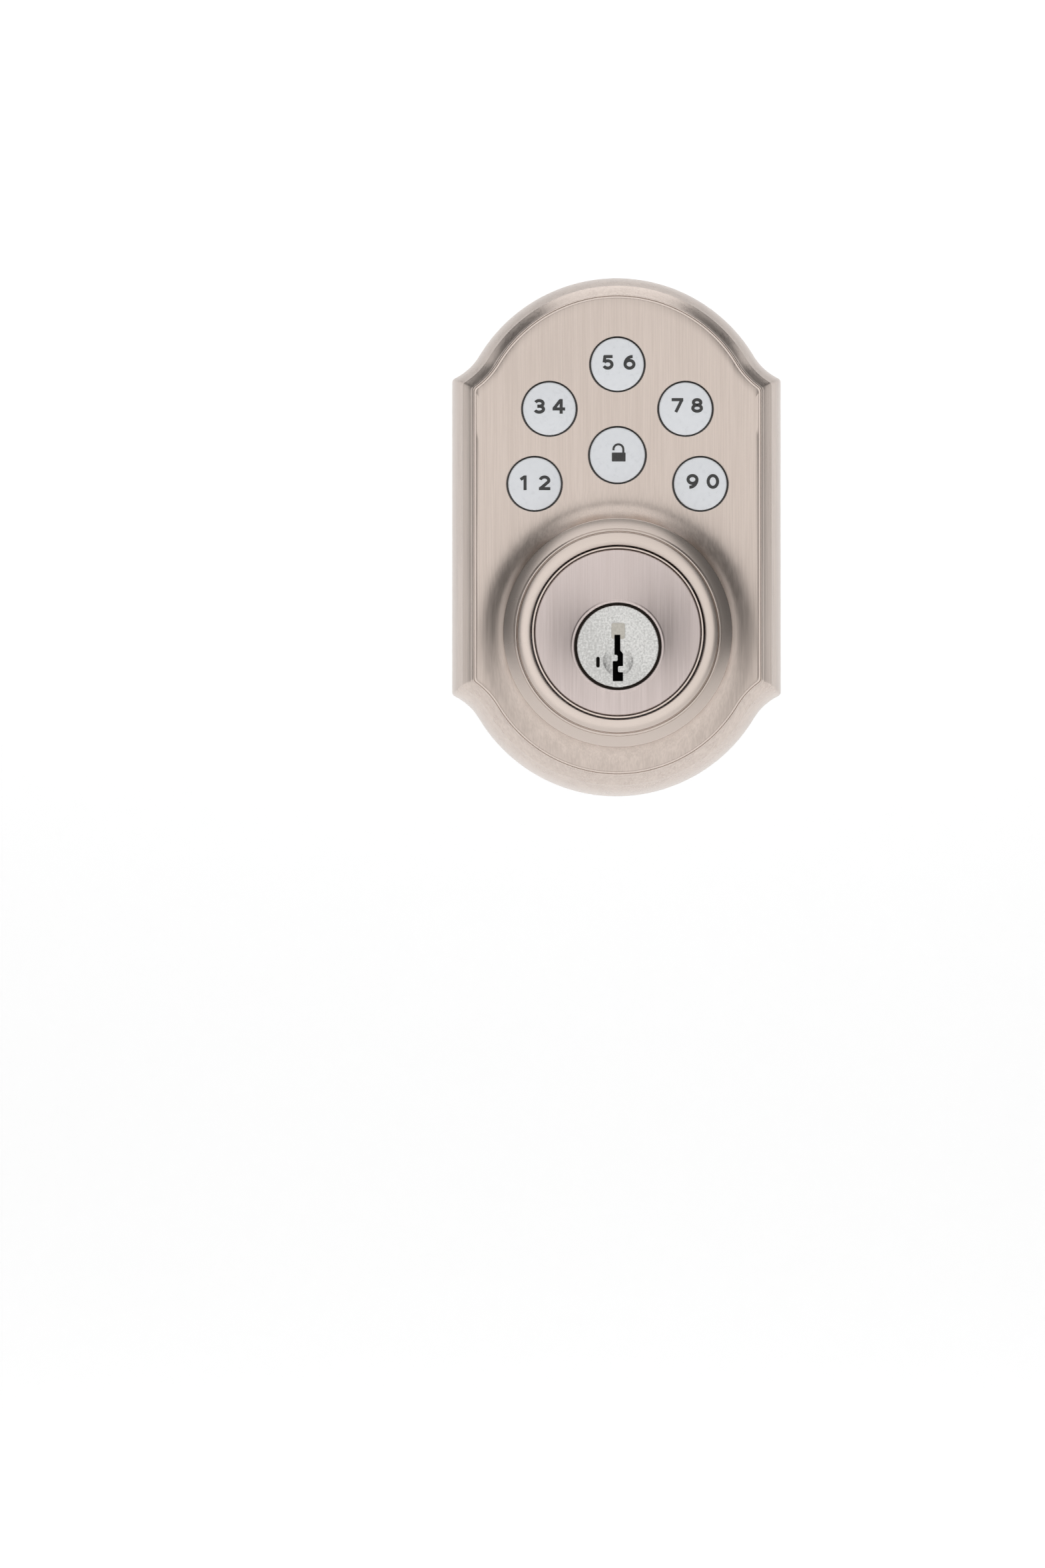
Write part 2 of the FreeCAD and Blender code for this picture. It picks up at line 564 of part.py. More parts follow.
def exterior_fixings():
    """Back plate with its bore spigot, gasket, threaded posts and screws."""
    inset = size("housing_wall + fit_gap")
    plate = shaped(outline_prism(inset, size(PLATE_FRONT_Y), size(RIM_Y)), "plate")
    spigot_radius = "(door_bore_radius - spigot_gap)"
    ring = cut(rod(spigot_radius, PLATE_FRONT_Y, "spigot_length"),
               rod(f"{spigot_radius} - spigot_wall", RIM_Y, "spigot_length + overrun"))
    seat = f"({PLATE_FRONT_Y} + 0.6)"
    holes = [rod("small_screw_radius + 0.1", f"{PLATE_FRONT_Y} - overrun", "0", x, z) for x,
             z in BACK_PLATE_POSTS]
    holes += [rod("small_screw_radius + 1.35", seat, "0", x, z) for x, z in BACK_PLATE_POSTS]
    holes += [rod("threaded_post_radius + screw_gap", f"{PLATE_FRONT_Y} - overrun", "0", x, z) for x,
              z in BOLTS]
    holes.append(rod("keeper_radius - keeper_wall - 0.3", f"{PLATE_FRONT_Y} - overrun", "0"))
    holes.append(rod("wire_radius + wire_hole_gap", f"{PLATE_FRONT_Y} - overrun", "0", "wire_x", "wire_z"))
    piece("exterior_back_plate", cut(fuse(plate, ring), *holes))
    piece("back_plate_screws", group(*[
        screw(x, z, seat, f"{PLATE_FRONT_Y} - 6", "small_screw_radius - screw_gap",
              "(small_screw_radius + 1.15)", "1.2") for x, z in BACK_PLATE_POSTS]))
    seal = outline_prism(0.3, size(RIM_Y), 0).cut(outline_prism(0.3 + size("gasket_width"), size(RIM_Y), 0))
    piece("exterior_gasket", shaped(seal, "seal"))
    piece("threaded_posts", group(*[
        cut(rod("threaded_post_radius", "-(ear_depth) + 1.2", "threaded_post_reach", x, z),
            rod("bolt_radius + screw_gap", "-(ear_depth) + 2.2", "threaded_post_reach + overrun", x, z))
        for x, z in BOLTS]))


# ---------------------------------------------------------------- cylinder, plug and blade


def pin_rows():
    """The depth of each pin chamber along the plug."""
    return [f"(-(first_pin_depth) + {i} * pin_pitch)" for i in range(int(size("pin_count")))]


def cylinder_body():
    """Round face and barrel with the plug's bore, the pin chambers and two threaded ears."""
    disc = "(boss_bore_radius - disc_gap)"
    back = f"({PLATE_FRONT_Y} - 0.05)"
    shoulder = f"({DISC_Y} + disc_thick)"
    barrel = turned([
        ("0", DISC_Y), (f"{disc} - disc_edge_round", DISC_Y), (disc, f"{DISC_Y} + disc_edge_round"),
        (disc, shoulder), ("barrel_radius", shoulder), ("barrel_radius", back), ("0", back),
    ], z="boss_centre_z")
    rim = turned([
        ("0", f"{DISC_Y} + 0.1"), ("0", f"{DISC_Y} - disc_rim_raise"),
        ("disc_rim_radius - 0.2", f"{DISC_Y} - disc_rim_raise"),
        ("disc_rim_radius + 0.15", f"{DISC_Y} + 0.1"),
    ])
    ears = [rod("ear_radius", "-(ear_depth)", back, x, z) for x, z in BOLTS]
    web = block(("-(ear_spread)", "ear_spread"), ("-(ear_depth)", back),
                ("-(ear_radius) * 0.7", "ear_radius * 0.7"))
    tools = [rod("plug_face_radius + plug_face_gap", f"{DISC_Y} - overrun",
                 f"{DISC_Y} + plug_face_thick + 0.1"),
             rod("plug_radius + running_gap", f"{DISC_Y} - overrun", "0")]
    tools += [rod("threaded_post_radius + screw_gap", "-(ear_depth) + 1.1", "0", x, z) for x, z in BOLTS]
    tools += [upright("pin_radius + pin_gap", "plug_radius * 0.7", "chamber_top", "0",
                      y) for y in pin_rows()]
    tools.append(block(("-(strip_width) / 2", "strip_width / 2"), strip_span(0),
                       ("chamber_top", "chamber_top + 3")))
    piece("cylinder_body", cut(fuse(barrel, rim, *ears, web), *tools))
    piece("chamber_strip", block(("-(strip_width) / 2 + 0.03", "strip_width / 2 - 0.03"), strip_span(0.05),
                                 ("chamber_top + 0.02", "chamber_top + strip_thick")))


def strip_span(gap):
    """The strip's reach along Y past the first and last chambers, less a gap at each end."""
    rows = pin_rows()
    return (f"{rows[0]} - pin_radius - 0.35 + {gap}", f"{rows[-1]} + pin_radius + 0.35 - {gap}")


def sector(inner, outer, middle, width):
    """The (x, z) corners of a short arc-shaped lug."""
    turns = [(inner, -0.5), (outer, -0.5), (outer, 0), (outer, 0.5), (inner, 0.5), (inner, 0)]
    return [(f"({radius} * cos(({middle} + {part} * {width}) * 1deg))",
             f"({radius} * sin(({middle} + {part} * {width}) * 1deg))") for radius, part in turns]


def cylinder_plug():
    """The turning plug: keyway with two wards, tool slot, pin holes and a drive lug."""
    face = f"({DISC_Y} - 0.3)"
    back = f"({PLATE_FRONT_Y} + 0.05)"
    flange = f"({DISC_Y} + plug_face_thick - 0.05)"
    end = f"({back} + 1.35)"
    body = new_body("cylinder_plug")
    revolve(body, [
        ("0", face), ("plug_face_radius - 0.3", face), ("plug_face_radius", f"{face} + 0.3"),
        ("plug_face_radius", flange), ("plug_radius", flange), ("plug_radius", back),
        ("blade_head_radius - 0.5", back), ("blade_head_radius - 0.5", f"{back} + 0.8"),
        ("blade_head_radius", f"{back} + 0.8"), ("blade_head_radius", end), ("0", end),
    ])
    front = f"-({face}) + overrun"
    keyway = polygon(body, "XZ_Plane", [
        ("-(key_left_upper)", "key_top"), ("key_right_upper", "key_top"),
        ("key_right_upper", "-(key_step_high)"), ("key_right_lower", "-(key_step_low)"),
        ("key_right_lower", "-(ward_right_high)"), ("ward_reach", "-(ward_right_high)"),
        ("ward_reach", "-(ward_right_low)"), ("key_right_lower", "-(ward_right_low)"),
        ("key_right_lower", "-(key_bottom)"), ("-(key_left_lower)", "-(key_bottom)"),
        ("-(key_left_lower)", "-(ward_left_low)"), ("-(ward_reach)", "-(ward_left_low)"),
        ("-(ward_reach)", "-(ward_left_high)"), ("-(key_left_upper)", "-(ward_left_high)"),
    ], front)
    pocket(body, keyway, f"{back} - ({face}) - overrun")
    window = polygon(body, "XZ_Plane", [
        ("-(window_left)", "window_low"), ("window_right", "window_low"),
        ("window_right", "window_high"), ("-(window_left)", "window_high"),
    ], front)
    pocket(body, window, "recess_depth")
    foot = polygon(body, "XZ_Plane", [
        ("-(foot_left)", "-(foot_low)"), ("foot_right", "-(foot_low)"),
        ("foot_right", "-(key_bottom) + 0.1"), ("-(foot_left)", "-(key_bottom) + 0.1"),
    ], front)
    pocket(body, foot, "recess_depth")
    left = "-(tool_slot_x + tool_slot_half)"
    right = "-(tool_slot_x - tool_slot_half)"
    low = "-(tool_slot_low - tool_slot_slope)"
    high = "-(tool_slot_high + tool_slot_slope)"
    tool_slot = polygon(body, "XZ_Plane", [
        (left, low), ("-(tool_slot_x)", "-(tool_slot_low)"), (right, low),
        (right, high), ("-(tool_slot_x)", "-(tool_slot_high)"), (left, high),
    ], front)
    pocket(body, tool_slot, "tool_slot_depth")
    wells = circles(body, "XY_Plane", [("0", y, "pin_radius + pin_gap") for y in pin_rows()],
                    "key_top - 0.2")
    bored = pocket(body, wells, "plug_radius", reverse=True)
    bored.Label = "pin_wells"
    lug = polygon(body, "XZ_Plane", sector("lug_inner", "lug_outer", "90", "lug_angle"), f"-({end})")
    pad(body, lug, "lug_length")


def pins():
    """Five key pins in the plug, with their drivers and springs above the shear line."""
    surface = "sqrt(plug_radius ^ 2 - pin_radius ^ 2) - 0.03"
    rest = "(plug_radius + running_gap + 0.04)"
    top = f"({rest} + driver_pin_length)"
    rows = pin_rows()
    piece("key_pins", group(*[upright("pin_radius", f"key_top + {PIN_LIFTS[i % len(PIN_LIFTS)]}",
                                      surface, "0", y)
                              for i, y in enumerate(rows)]))
    piece("driver_pins", group(*[upright("pin_radius", rest, top, "0", y) for y in rows]))
    piece("driver_springs", group(*[
        cut(upright("pin_radius - 0.1", f"{top} + 0.03", "chamber_top - 0.03", "0", y),
            upright("pin_radius - 0.4", f"{top} - overrun", "chamber_top + overrun", "0",
                    y)) for y in rows]))


def blade():
    """Clip that holds the plug, the torque blade with its lug, and the keeper round its head."""
    groove = f"({PLATE_FRONT_Y} + 0.05)"
    ring = cut(rod("plug_radius + 0.9", f"{groove} + play", f"{groove} + 0.75"),
               rod("blade_head_radius - 0.45", groove, f"{groove} + overrun"),
               block(("-2.5", "2.5"), (groove, f"{groove} + overrun"), ("-(plug_radius) - 2", "0")))
    piece("plug_clip", ring)
    lug_end = f"({groove} + 1.35 + lug_length)"
    head = f"({lug_end} + 0.2)"
    neck = f"({head} + blade_head_thick)"
    body = new_body("torque_blade")
    pad(body, circles(body, "XZ_Plane", [("0", "0", "blade_head_radius")], f"-({head})"), "blade_head_thick")
    half_x = "blade_width / 2"
    half_z = "blade_thick / 2"
    bar = polygon(body, "XZ_Plane", [(f"-({half_x})", f"-({half_z})"), (half_x, f"-({half_z})"),
                                     (half_x, half_z), (f"-({half_x})", half_z)], f"-({neck}) + 0.5")
    pad(body, bar, f"{ROOM_Y} + blade_end - ({neck}) + 0.5")
    lug = polygon(body, "XZ_Plane", sector("lug_inner", "lug_outer", "(90 + lug_rest_angle)", "lug_angle"),
                  f"-({head}) + lug_length")
    pad(body, lug, "lug_length + 0.5")
    piece("blade_keeper", turned([
        ("blade_width / 2 + 0.7", f"{neck} + 0.2"), ("keeper_radius - keeper_wall", f"{neck} + 0.2"),
        ("keeper_radius - keeper_wall", RIM_Y), ("keeper_radius", RIM_Y),
        ("keeper_radius", f"{neck} + 0.2 + keeper_wall"),
        ("blade_width / 2 + 0.7", f"{neck} + 0.2 + keeper_wall"),
    ]))


# ---------------------------------------------------------------- interior unit


def mounting_plate():
    back = f"({ROOM_Y} + mount_plate_thick)"
    plate = inner_stadium("inner_wall + cover_gap", ROOM_Y, back)
    over = (f"{ROOM_Y} - overrun", f"{back} + overrun")
    holes = [rod("blade_width / 2 + 1.5", *over)]
    holes += [rod("bolt_radius + 0.25", *over, x, z) for x, z in BOLTS]
    holes += [rod("small_screw_radius + screw_gap", *over, x, z) for x, z in CHASSIS_SCREWS]
    holes.append(rod("wire_radius + wire_hole_gap", *over, "wire_x", "wire_z"))
    piece("interior_mounting_plate", cut(plate, *holes))
    piece("through_screws", group(*[
        screw(x, z, back, "-(1)", "bolt_radius", "bolt_head_radius", "2.2") for x, z in BOLTS]))


CELL_X = "(cell_radius + cell_gap / 2)"
CELL_Y = [f"({FLOOR_TOP_Y} + cell_gap + cell_radius)", f"({FLOOR_TOP_Y} + 2 * cell_gap + 3 * cell_radius)"]
BOX_HALF = "(2 * cell_radius + cell_gap)"
BOX_BACK = f"({CELL_Y[1]} + cell_radius + 1.2)"
# Name, x, y and whether the nub is at the top.
CELLS = [
    ("battery_1", f"-({CELL_X})", CELL_Y[0], True), ("battery_2", CELL_X, CELL_Y[0], False),
    ("battery_3", f"-({CELL_X})", CELL_Y[1], False), ("battery_4", CELL_X, CELL_Y[1], True),
]


def chassis():
    """Floor, cell box and the posts that carry the gears, the board and the cover."""
    floor = inner_stadium("inner_wall + cover_gap + 0.2", FLOOR_Y, FLOOR_TOP_Y)
    box = cut(block((f"-({BOX_HALF}) - box_wall", f"{BOX_HALF} + box_wall"), (FLOOR_Y, BOX_BACK),
                    (f"{BOX_LOW} - box_wall", f"{BOX_HIGH} + box_wall")),
              block((f"-({BOX_HALF})", BOX_HALF), (FLOOR_TOP_Y, f"{BOX_BACK} + overrun"),
                    (BOX_LOW, BOX_HIGH)))
    box = common(box, inner_stadium("inner_wall + cover_gap + 0.2", FLOOR_Y, f"{BOX_BACK} + overrun"))
    posts = [rod("board_post_radius", FLOOR_Y, GEAR_COVER_Y, x, z) for x, z in GEAR_POSTS]
    posts += [rod("board_post_radius - 0.2", FLOOR_Y, BOARD_Y, x, z) for x, z in BOARD_POSTS]
    posts += [rod("cover_post_radius", FLOOR_Y, f"{COVER_INNER_Y} - 0.1", x, z) for x, z in COVER_POSTS]
    over = (f"{FLOOR_Y} - overrun", f"{FLOOR_TOP_Y} + 0.01")
    holes = [rod("journal_radius + running_gap", *over)]
    holes += [rod("bolt_head_radius + 0.4", *over, x, z) for x, z in BOLTS]
    holes += [rod("small_screw_radius + 0.1", *over, x, z) for x, z in CHASSIS_SCREWS]
    holes.append(rod("wire_radius + wire_hole_gap", *over, "wire_x", "wire_z"))
    holes += [rod("small_screw_radius", f"{GEAR_COVER_Y} - 7", f"{GEAR_COVER_Y} + overrun", x, z) for x,
              z in GEAR_POSTS]
    holes += [rod("tiny_screw_radius", f"{BOARD_Y} - 5", f"{BOARD_Y} + overrun", x, z) for x,
              z in BOARD_POSTS]
    holes += [rod("small_screw_radius", f"{COVER_INNER_Y} - 8", f"{COVER_INNER_Y} + overrun", x, z)
              for x, z in COVER_POSTS]
    holes.append(rod("axle_radius + screw_gap", f"{FLOOR_Y} - overrun", f"{FLOOR_TOP_Y} + overrun",
                     IDLER_X, IDLER_Z))
    piece("interior_chassis", cut(fuse(floor, box, *posts), *holes))


def cells_and_contacts():
    flats = []
    springs = []
    for name, x, y, nub_up in CELLS:
        low = "cell_low_z"
        high = "(cell_low_z + cell_length)"
        can = (low, f"({high} - cell_nub_length)") if nub_up else (f"({low} + cell_nub_length)", high)
        nub = (f"{can[1]} - 0.1", high) if nub_up else (low, f"{can[0]} + 0.1")
        piece(name, fuse(upright("cell_radius", *can, x, y), upright("cell_nub_radius", *nub, x, y)))
        side_x = (f"{x} - contact_half", f"{x} + contact_half")
        side_y = (f"{y} - contact_half", f"{y} + contact_half")
        tongue_x = (f"{x} - tongue_half", f"{x} + tongue_half")
        tongue_y = (f"{y} - 2 * tongue_half", f"{y} + 2 * tongue_half")
        if nub_up:
            flats.append(block(side_x, side_y, (f"{high} + 0.02", f"{high} + 0.02 + contact_thick")))
            base = block(side_x, side_y, (BOX_LOW, f"{BOX_LOW} + contact_thick"))
            tongue = block(tongue_x, tongue_y, (BOX_LOW, f"{low} - 0.02"))
        else:
            flats.append(block(side_x, side_y, (f"{low} - 0.02 - contact_thick", f"{low} - 0.02")))
            base = block(side_x, side_y, (f"{BOX_HIGH} - contact_thick", BOX_HIGH))
            tongue = block(tongue_x, tongue_y, (f"{high} + 0.02", BOX_HIGH))
        springs.append(fuse(base, tongue))
    piece("flat_contacts", group(*flats))
    piece("spring_contacts", group(*springs))


def gear_blank(module, teeth, start, thick, first_tooth):
    """An involute spur gear along Y; first_tooth is one tooth's angle from +X towards +Z."""
    module, teeth, first_tooth = size(module), int(size(teeth)), math.radians(first_tooth)
    pitch = module * teeth / 2
    tip, root, base = pitch + 0.85 * module, pitch - 1.15 * module, pitch * math.cos(math.radians(20))

    def spread(radius):
        lean = math.acos(min(1.0, base / radius))
        return math.tan(lean) - lean

    half = math.pi / (2 * teeth) * 0.9 + spread(pitch)
    levels = [root, max(root + 0.01, base)] + [base + (tip - base) * f for f in (0.35, 0.6, 0.8, 1.0)]
    corners = []
    for i in range(teeth):
        middle = first_tooth + 2 * math.pi * i / teeth
        flank = [(radius, half - spread(radius)) for radius in levels]
        for radius, angle in [(r, -a) for r, a in flank] + flank[::-1]:
            corners.append(V(radius * math.cos(middle + angle), 0, radius * math.sin(middle + angle)))
    face = Part.Face(Part.makePolygon(corners + corners[:1]))
    solid = face.extrude(V(0, size(thick), 0))
    return move(shaped(solid, "gear"), "0", start, "0")


def gears():
    """Drive hub, idler and motor pinion in mesh at rest, with the idler's axle and the motor."""
    to_idler = size("idler_angle")
    to_motor = size("motor_angle")
    hub_gear = gear_blank("coarse_module", "hub_teeth", GEAR_Y, "gear_thick", to_idler)
    hub_core = turned([
        ("0", f"{FLOOR_Y} + play"), ("journal_radius", f"{FLOOR_Y} + play"),
        ("journal_radius", f"{FLOOR_TOP_Y} + 0.15"), ("journal_radius + 1.2", f"{FLOOR_TOP_Y} + 0.15"),
        ("journal_radius + 1.2", f"{GEAR_Y} + hub_step"), ("journal_radius + 0.6", f"{GEAR_Y} + hub_step"),
        ("journal_radius + 0.6", f"{GEAR_COVER_Y} - 0.1"), ("hub_neck_radius", f"{GEAR_COVER_Y} - 0.1"),
        ("hub_neck_radius", HUB_END_Y), ("0", HUB_END_Y),
    ])
    tenon = block(("-(tenon_half)", "tenon_half"), (f"{HUB_END_Y} - 0.5", f"{HUB_END_Y} + 3.5"),
                  ("-(tenon_half)", "tenon_half"))
    slot = block(("-(blade_width) / 2 - 0.15", "blade_width / 2 + 0.15"),
                 (FLOOR_Y, f"{ROOM_Y} + blade_end + 0.5"),
                 ("-(blade_thick) / 2 - 0.15", "blade_thick / 2 + 0.15"))
    bore = rod("turn_screw_radius + screw_gap", f"{TURN_TIP_Y} - overrun", f"{HUB_END_Y} + 5")
    piece("drive_hub", cut(fuse(hub_gear, hub_core, tenon), slot, bore))

    step_idler = 180 / size("idler_small_teeth")
    small = gear_blank("coarse_module", "idler_small_teeth", f"{GEAR_Y} - 0.2", "gear_thick + 0.4",
                       to_idler + 180 + step_idler)
    large = gear_blank("fine_module", "idler_large_teeth", LARGE_Y, "large_gear_thick", to_motor)
    core = turned([
        ("0", f"{FLOOR_TOP_Y} + 0.2"), ("axle_radius + 1.3", f"{FLOOR_TOP_Y} + 0.2"),
        ("axle_radius + 1.3", f"{GEAR_COVER_Y} - 0.15"), ("0", f"{GEAR_COVER_Y} - 0.15"),
    ])
    hole = rod("axle_radius + running_gap", FLOOR_TOP_Y, GEAR_COVER_Y)
    idler = piece("idler_gear", cut(fuse(small, large, core), hole))
    move(idler, IDLER_X, "0", IDLER_Z)
    piece("idler_axle", rod("axle_radius", f"{FLOOR_Y} + play", f"{GEAR_COVER_Y} + gear_cover_thick - 0.1",
                            IDLER_X, IDLER_Z))

    step_pinion = 180 / size("pinion_teeth")
    pinion = gear_blank("fine_module", "pinion_teeth", f"{LARGE_Y} - 0.2", "large_gear_thick + 0.4",
                        to_motor + 180 + step_pinion)
    hole = rod("motor_shaft_radius", f"{LARGE_Y} - overrun", GEAR_COVER_Y)
    pinion = piece("motor_pinion", cut(pinion, hole))
    move(pinion, MOTOR_X, "0", MOTOR_Z)
    front = f"({GEAR_COVER_Y} + gear_cover_thick + 0.05)"
    piece("motor_shaft", rod("motor_shaft_radius", f"{LARGE_Y} - 0.2", f"{front} + 5.9", MOTOR_X, MOTOR_Z))
    back = f"({front} + motor_length)"
    can = turned([
        ("0", front), ("motor_radius - motor_edge", front), ("motor_radius", f"{front} + motor_edge"),
        ("motor_radius", f"{back} - motor_edge"), ("motor_radius - motor_edge", back),
        ("motor_nose_radius", back), ("motor_nose_radius", f"{back} + overrun"), ("0", f"{back} + overrun"),
    ], MOTOR_X, MOTOR_Z)
    piece("motor", cut(can, rod("motor_shaft_radius + running_gap", f"{front} - overrun", f"{front} + 6",
                                MOTOR_X, MOTOR_Z)))


HUB_END_Y = f"({COVER_INNER_Y} - 3)"
TURN_Y = f"({COVER_BACK_Y} + cover_gap)"
TURN_TIP_Y = f"({TURN_Y} - 18)"


def gear_cover():
    """The plate over the gears that carries the motor."""
    top = f"({GEAR_COVER_Y} + gear_cover_thick)"
    edge = inner_stadium("inner_wall + 0.8", GEAR_COVER_Y, top)
    low_part = block(("-(inner_half_width)", "gear_cover_right"), (GEAR_COVER_Y, top),
                     ("inner_low_z", f"{BOX_LOW} - box_wall - 0.4"))
    motor_part = block(("-(inner_half_width)", f"-({BOX_HALF}) - box_wall - 0.4"), (GEAR_COVER_Y, top),
                       ("0", f"{MOTOR_Z} + motor_radius"))
    over = (f"{GEAR_COVER_Y} - overrun", f"{top} + overrun")
    holes = [rod("hub_neck_radius + running_gap", *over)]
    holes.append(rod("axle_radius + screw_gap", *over, IDLER_X, IDLER_Z))
    holes.append(rod("motor_shaft_radius + 0.6", *over, MOTOR_X, MOTOR_Z))
    holes.append(rod("wire_radius + wire_hole_gap", *over, "wire_x", "wire_z"))
    holes += [rod("small_screw_radius + 0.1", *over, x, z) for x, z in GEAR_POSTS]
    holes += [rod("board_post_radius + 0.2", *over, x, z) for x, z in BOARD_POSTS]
    holes += [rod("cover_post_radius + 0.3", *over, x, z) for x, z in COVER_POSTS]
    piece("gear_cover", cut(common(edge, fuse(low_part, motor_part)), *holes))
    case = [screw(x, z, top, f"{GEAR_COVER_Y} - 5", "(small_screw_radius - screw_gap)", "2.1", "1.2")
            for x, z in GEAR_POSTS]
    case += [screw(x, z, FLOOR_TOP_Y, f"{ROOM_Y} + 0.1", "(small_screw_radius - screw_gap)", "2.1", "1.2")
             for x, z in CHASSIS_SCREWS]
    piece("case_screws", group(*case))


def control_board():
    """The board behind the gears, its parts, the harness plug and all the board screws."""
    back = f"({BOARD_Y} + board_thick)"
    panel = common(inner_stadium("inner_wall + overrun", BOARD_Y, back),
                   block(("-(inner_half_width)", "inner_half_width"), (BOARD_Y, back),
                         ("inner_low_z", "control_board_top")))
    over = (f"{BOARD_Y} - overrun", f"{back} + overrun")
    holes = [rod("hub_neck_radius + 2", *over)]
    holes += [rod("tiny_screw_radius + 0.2", *over, x, z) for x, z in BOARD_POSTS]
    holes += [rod("cover_post_radius + 0.4", *over, x, z) for x, z in COVER_POSTS]
    piece("control_board", cut(panel, *holes))
    piece("control_chip", block(("-(chip_half)", "chip_half"), (back, f"{back} + chip_thick"),
                                ("-(control_chip_low)", "-(control_chip_high)")))
    piece("buzzer", rod("buzzer_radius", back, f"{back} + buzzer_height", "-(buzzer_x)", "buzzer_z"))
    socket_y = (back, f"{back} + 2")
    piece("board_socket", block(("wire_x - 4.6", "wire_x + 4.6"), socket_y,
                                ("wire_back_bottom - 8", "wire_back_bottom - 0.5")))
    piece("harness_plug_interior", block(("wire_x - 4", "wire_x + 4"),
                                         (f"{back} + 2.05", f"{WIRE_BACK_Y} + wire_radius + 0.9"),
                                         ("wire_back_bottom - 7.5", "wire_back_bottom")))
    piece("harness_plug_exterior", block(("wire_x - 4", "wire_x + 4"),
                                         (f"{BOARD_BACK_Y} + 0.95", "wire_front_y + wire_radius + 0.5"),
                                         ("wire_front_top", "wire_front_top + 7")))
    switch_top = f"({back} + switch_half)"
    piece("program_switch", block(("program_x - switch_half", "program_x + switch_half"), (back, switch_top),
                                  ("program_z - switch_half", "program_z + switch_half")))
    body = new_body("program_button")
    revolve(body, [
        ("0", f"{switch_top} + program_travel + 0.1"), ("1.2", f"{switch_top} + program_travel + 0.1"),
        ("1.2", f"{COVER_INNER_Y} - 1.4"), ("program_radius + 0.7", f"{COVER_INNER_Y} - 1.4"),
        ("program_radius + 0.7", f"{COVER_INNER_Y} - 0.3"), ("program_radius", f"{COVER_INNER_Y} - 0.3"),
        ("program_radius", f"{COVER_BACK_Y} + 0.9"), ("program_radius - 0.4", f"{COVER_BACK_Y} + 1.3"),
        ("0", f"{COVER_BACK_Y} + 1.3"),
    ])
    move(body, "program_x", "0", "program_z")
    piece("status_led", block(("light_x - led_half", "light_x + led_half"), (back, f"{back} + led_half"),
                              ("light_z - led_half", "light_z + led_half")))
    piece("light_pipe", rod("light_radius", f"{back} + 0.9", COVER_BACK_Y, "light_x", "light_z"))
    tiny = [screw(x, z, back, f"{BOARD_Y} - 4", "(tiny_screw_radius - screw_gap)", "1.9", "1")
            for x, z in BOARD_POSTS]
    tiny += [screw(x, z, BOARD_BACK_Y, f"{BOARD_FRONT_Y} - 4", "(tiny_screw_radius - screw_gap)", "1.9", "1")
             for x, z in KEYPAD_POSTS]
    piece("board_screws", group(*tiny))


def interior_cover():
    """The room-side shell, its screws and the sliding door over the cells."""
    front = f"({ROOM_Y} + cover_standoff)"
    shell = cut(inner_stadium("0", front, COVER_BACK_Y),
                inner_stadium("inner_wall", f"{front} - overrun", COVER_INNER_Y))
    over = (f"{COVER_INNER_Y} - overrun", f"{COVER_BACK_Y} + overrun")
    door_y = f"({COVER_BACK_Y} - door_thick_y)"
    top = f"{INNER_HIGH_Z} + 3"
    holes = [rod("turn_stem_radius + fit_gap", *over)]
    holes.append(rod("program_radius + button_gap", *over, "program_x", "program_z"))
    holes.append(rod("light_radius + 0.1", *over, "light_x", "light_z"))
    holes += [rod("small_screw_radius + 0.1", *over, x, z) for x, z in COVER_POSTS]
    holes += [rod("small_screw_radius + 1.6", f"{COVER_BACK_Y} - 1.5", f"{COVER_BACK_Y} + overrun", x, z)
              for x, z in COVER_POSTS]
    holes.append(block((f"-({BOX_HALF}) - 0.1", f"{BOX_HALF} + 0.1"), over,
                       (f"{BOX_LOW} + 0.3", f"{BOX_HIGH} - 2")))
    holes.append(block(("-(door_half_width) - fit_gap", "door_half_width + fit_gap"),
                       (f"{door_y} - 0.1", over[1]), ("door_low_z - fit_gap", top)))
    wide = "door_half_width + door_tongue"
    holes.append(block((f"-({wide}) - cover_gap", f"{wide} + cover_gap"),
                       (f"{door_y} - 0.1", f"{door_y} + door_tongue_thick + fit_gap"),
                       ("door_low_z - fit_gap", top)))
    piece("interior_cover", cut(shell, *holes))
    piece("cover_screws", group(*[
        screw(x, z, f"({COVER_BACK_Y} - 1.5)", f"{COVER_INNER_Y} - 7",
              "(small_screw_radius - screw_gap)", "2.6", "1.3")
        for x, z in COVER_POSTS]))
    panel = common(inner_stadium("0", door_y, COVER_BACK_Y),
                   block(("-(door_half_width)", "door_half_width"), (door_y, COVER_BACK_Y),
                         ("door_low_z", top)))
    tongues = common(inner_stadium("cover_gap", door_y, f"{door_y} + door_tongue_thick"),
                     block((f"-({wide})", wide), (door_y, f"{door_y} + door_tongue_thick"),
                           ("door_low_z + fit_gap", top)))
    ribs = [block(("-(rib_half)", "rib_half"), (f"{COVER_BACK_Y} - 0.5", f"{COVER_BACK_Y} + rib_raise"),
                  (f"door_low_z + rib_start + {i} * rib_pitch",
                   f"door_low_z + rib_start + {i} * rib_pitch + rib_wide"))
            for i in range(int(size("rib_count")))]
    piece("battery_door", fuse(panel, tongues, *ribs))


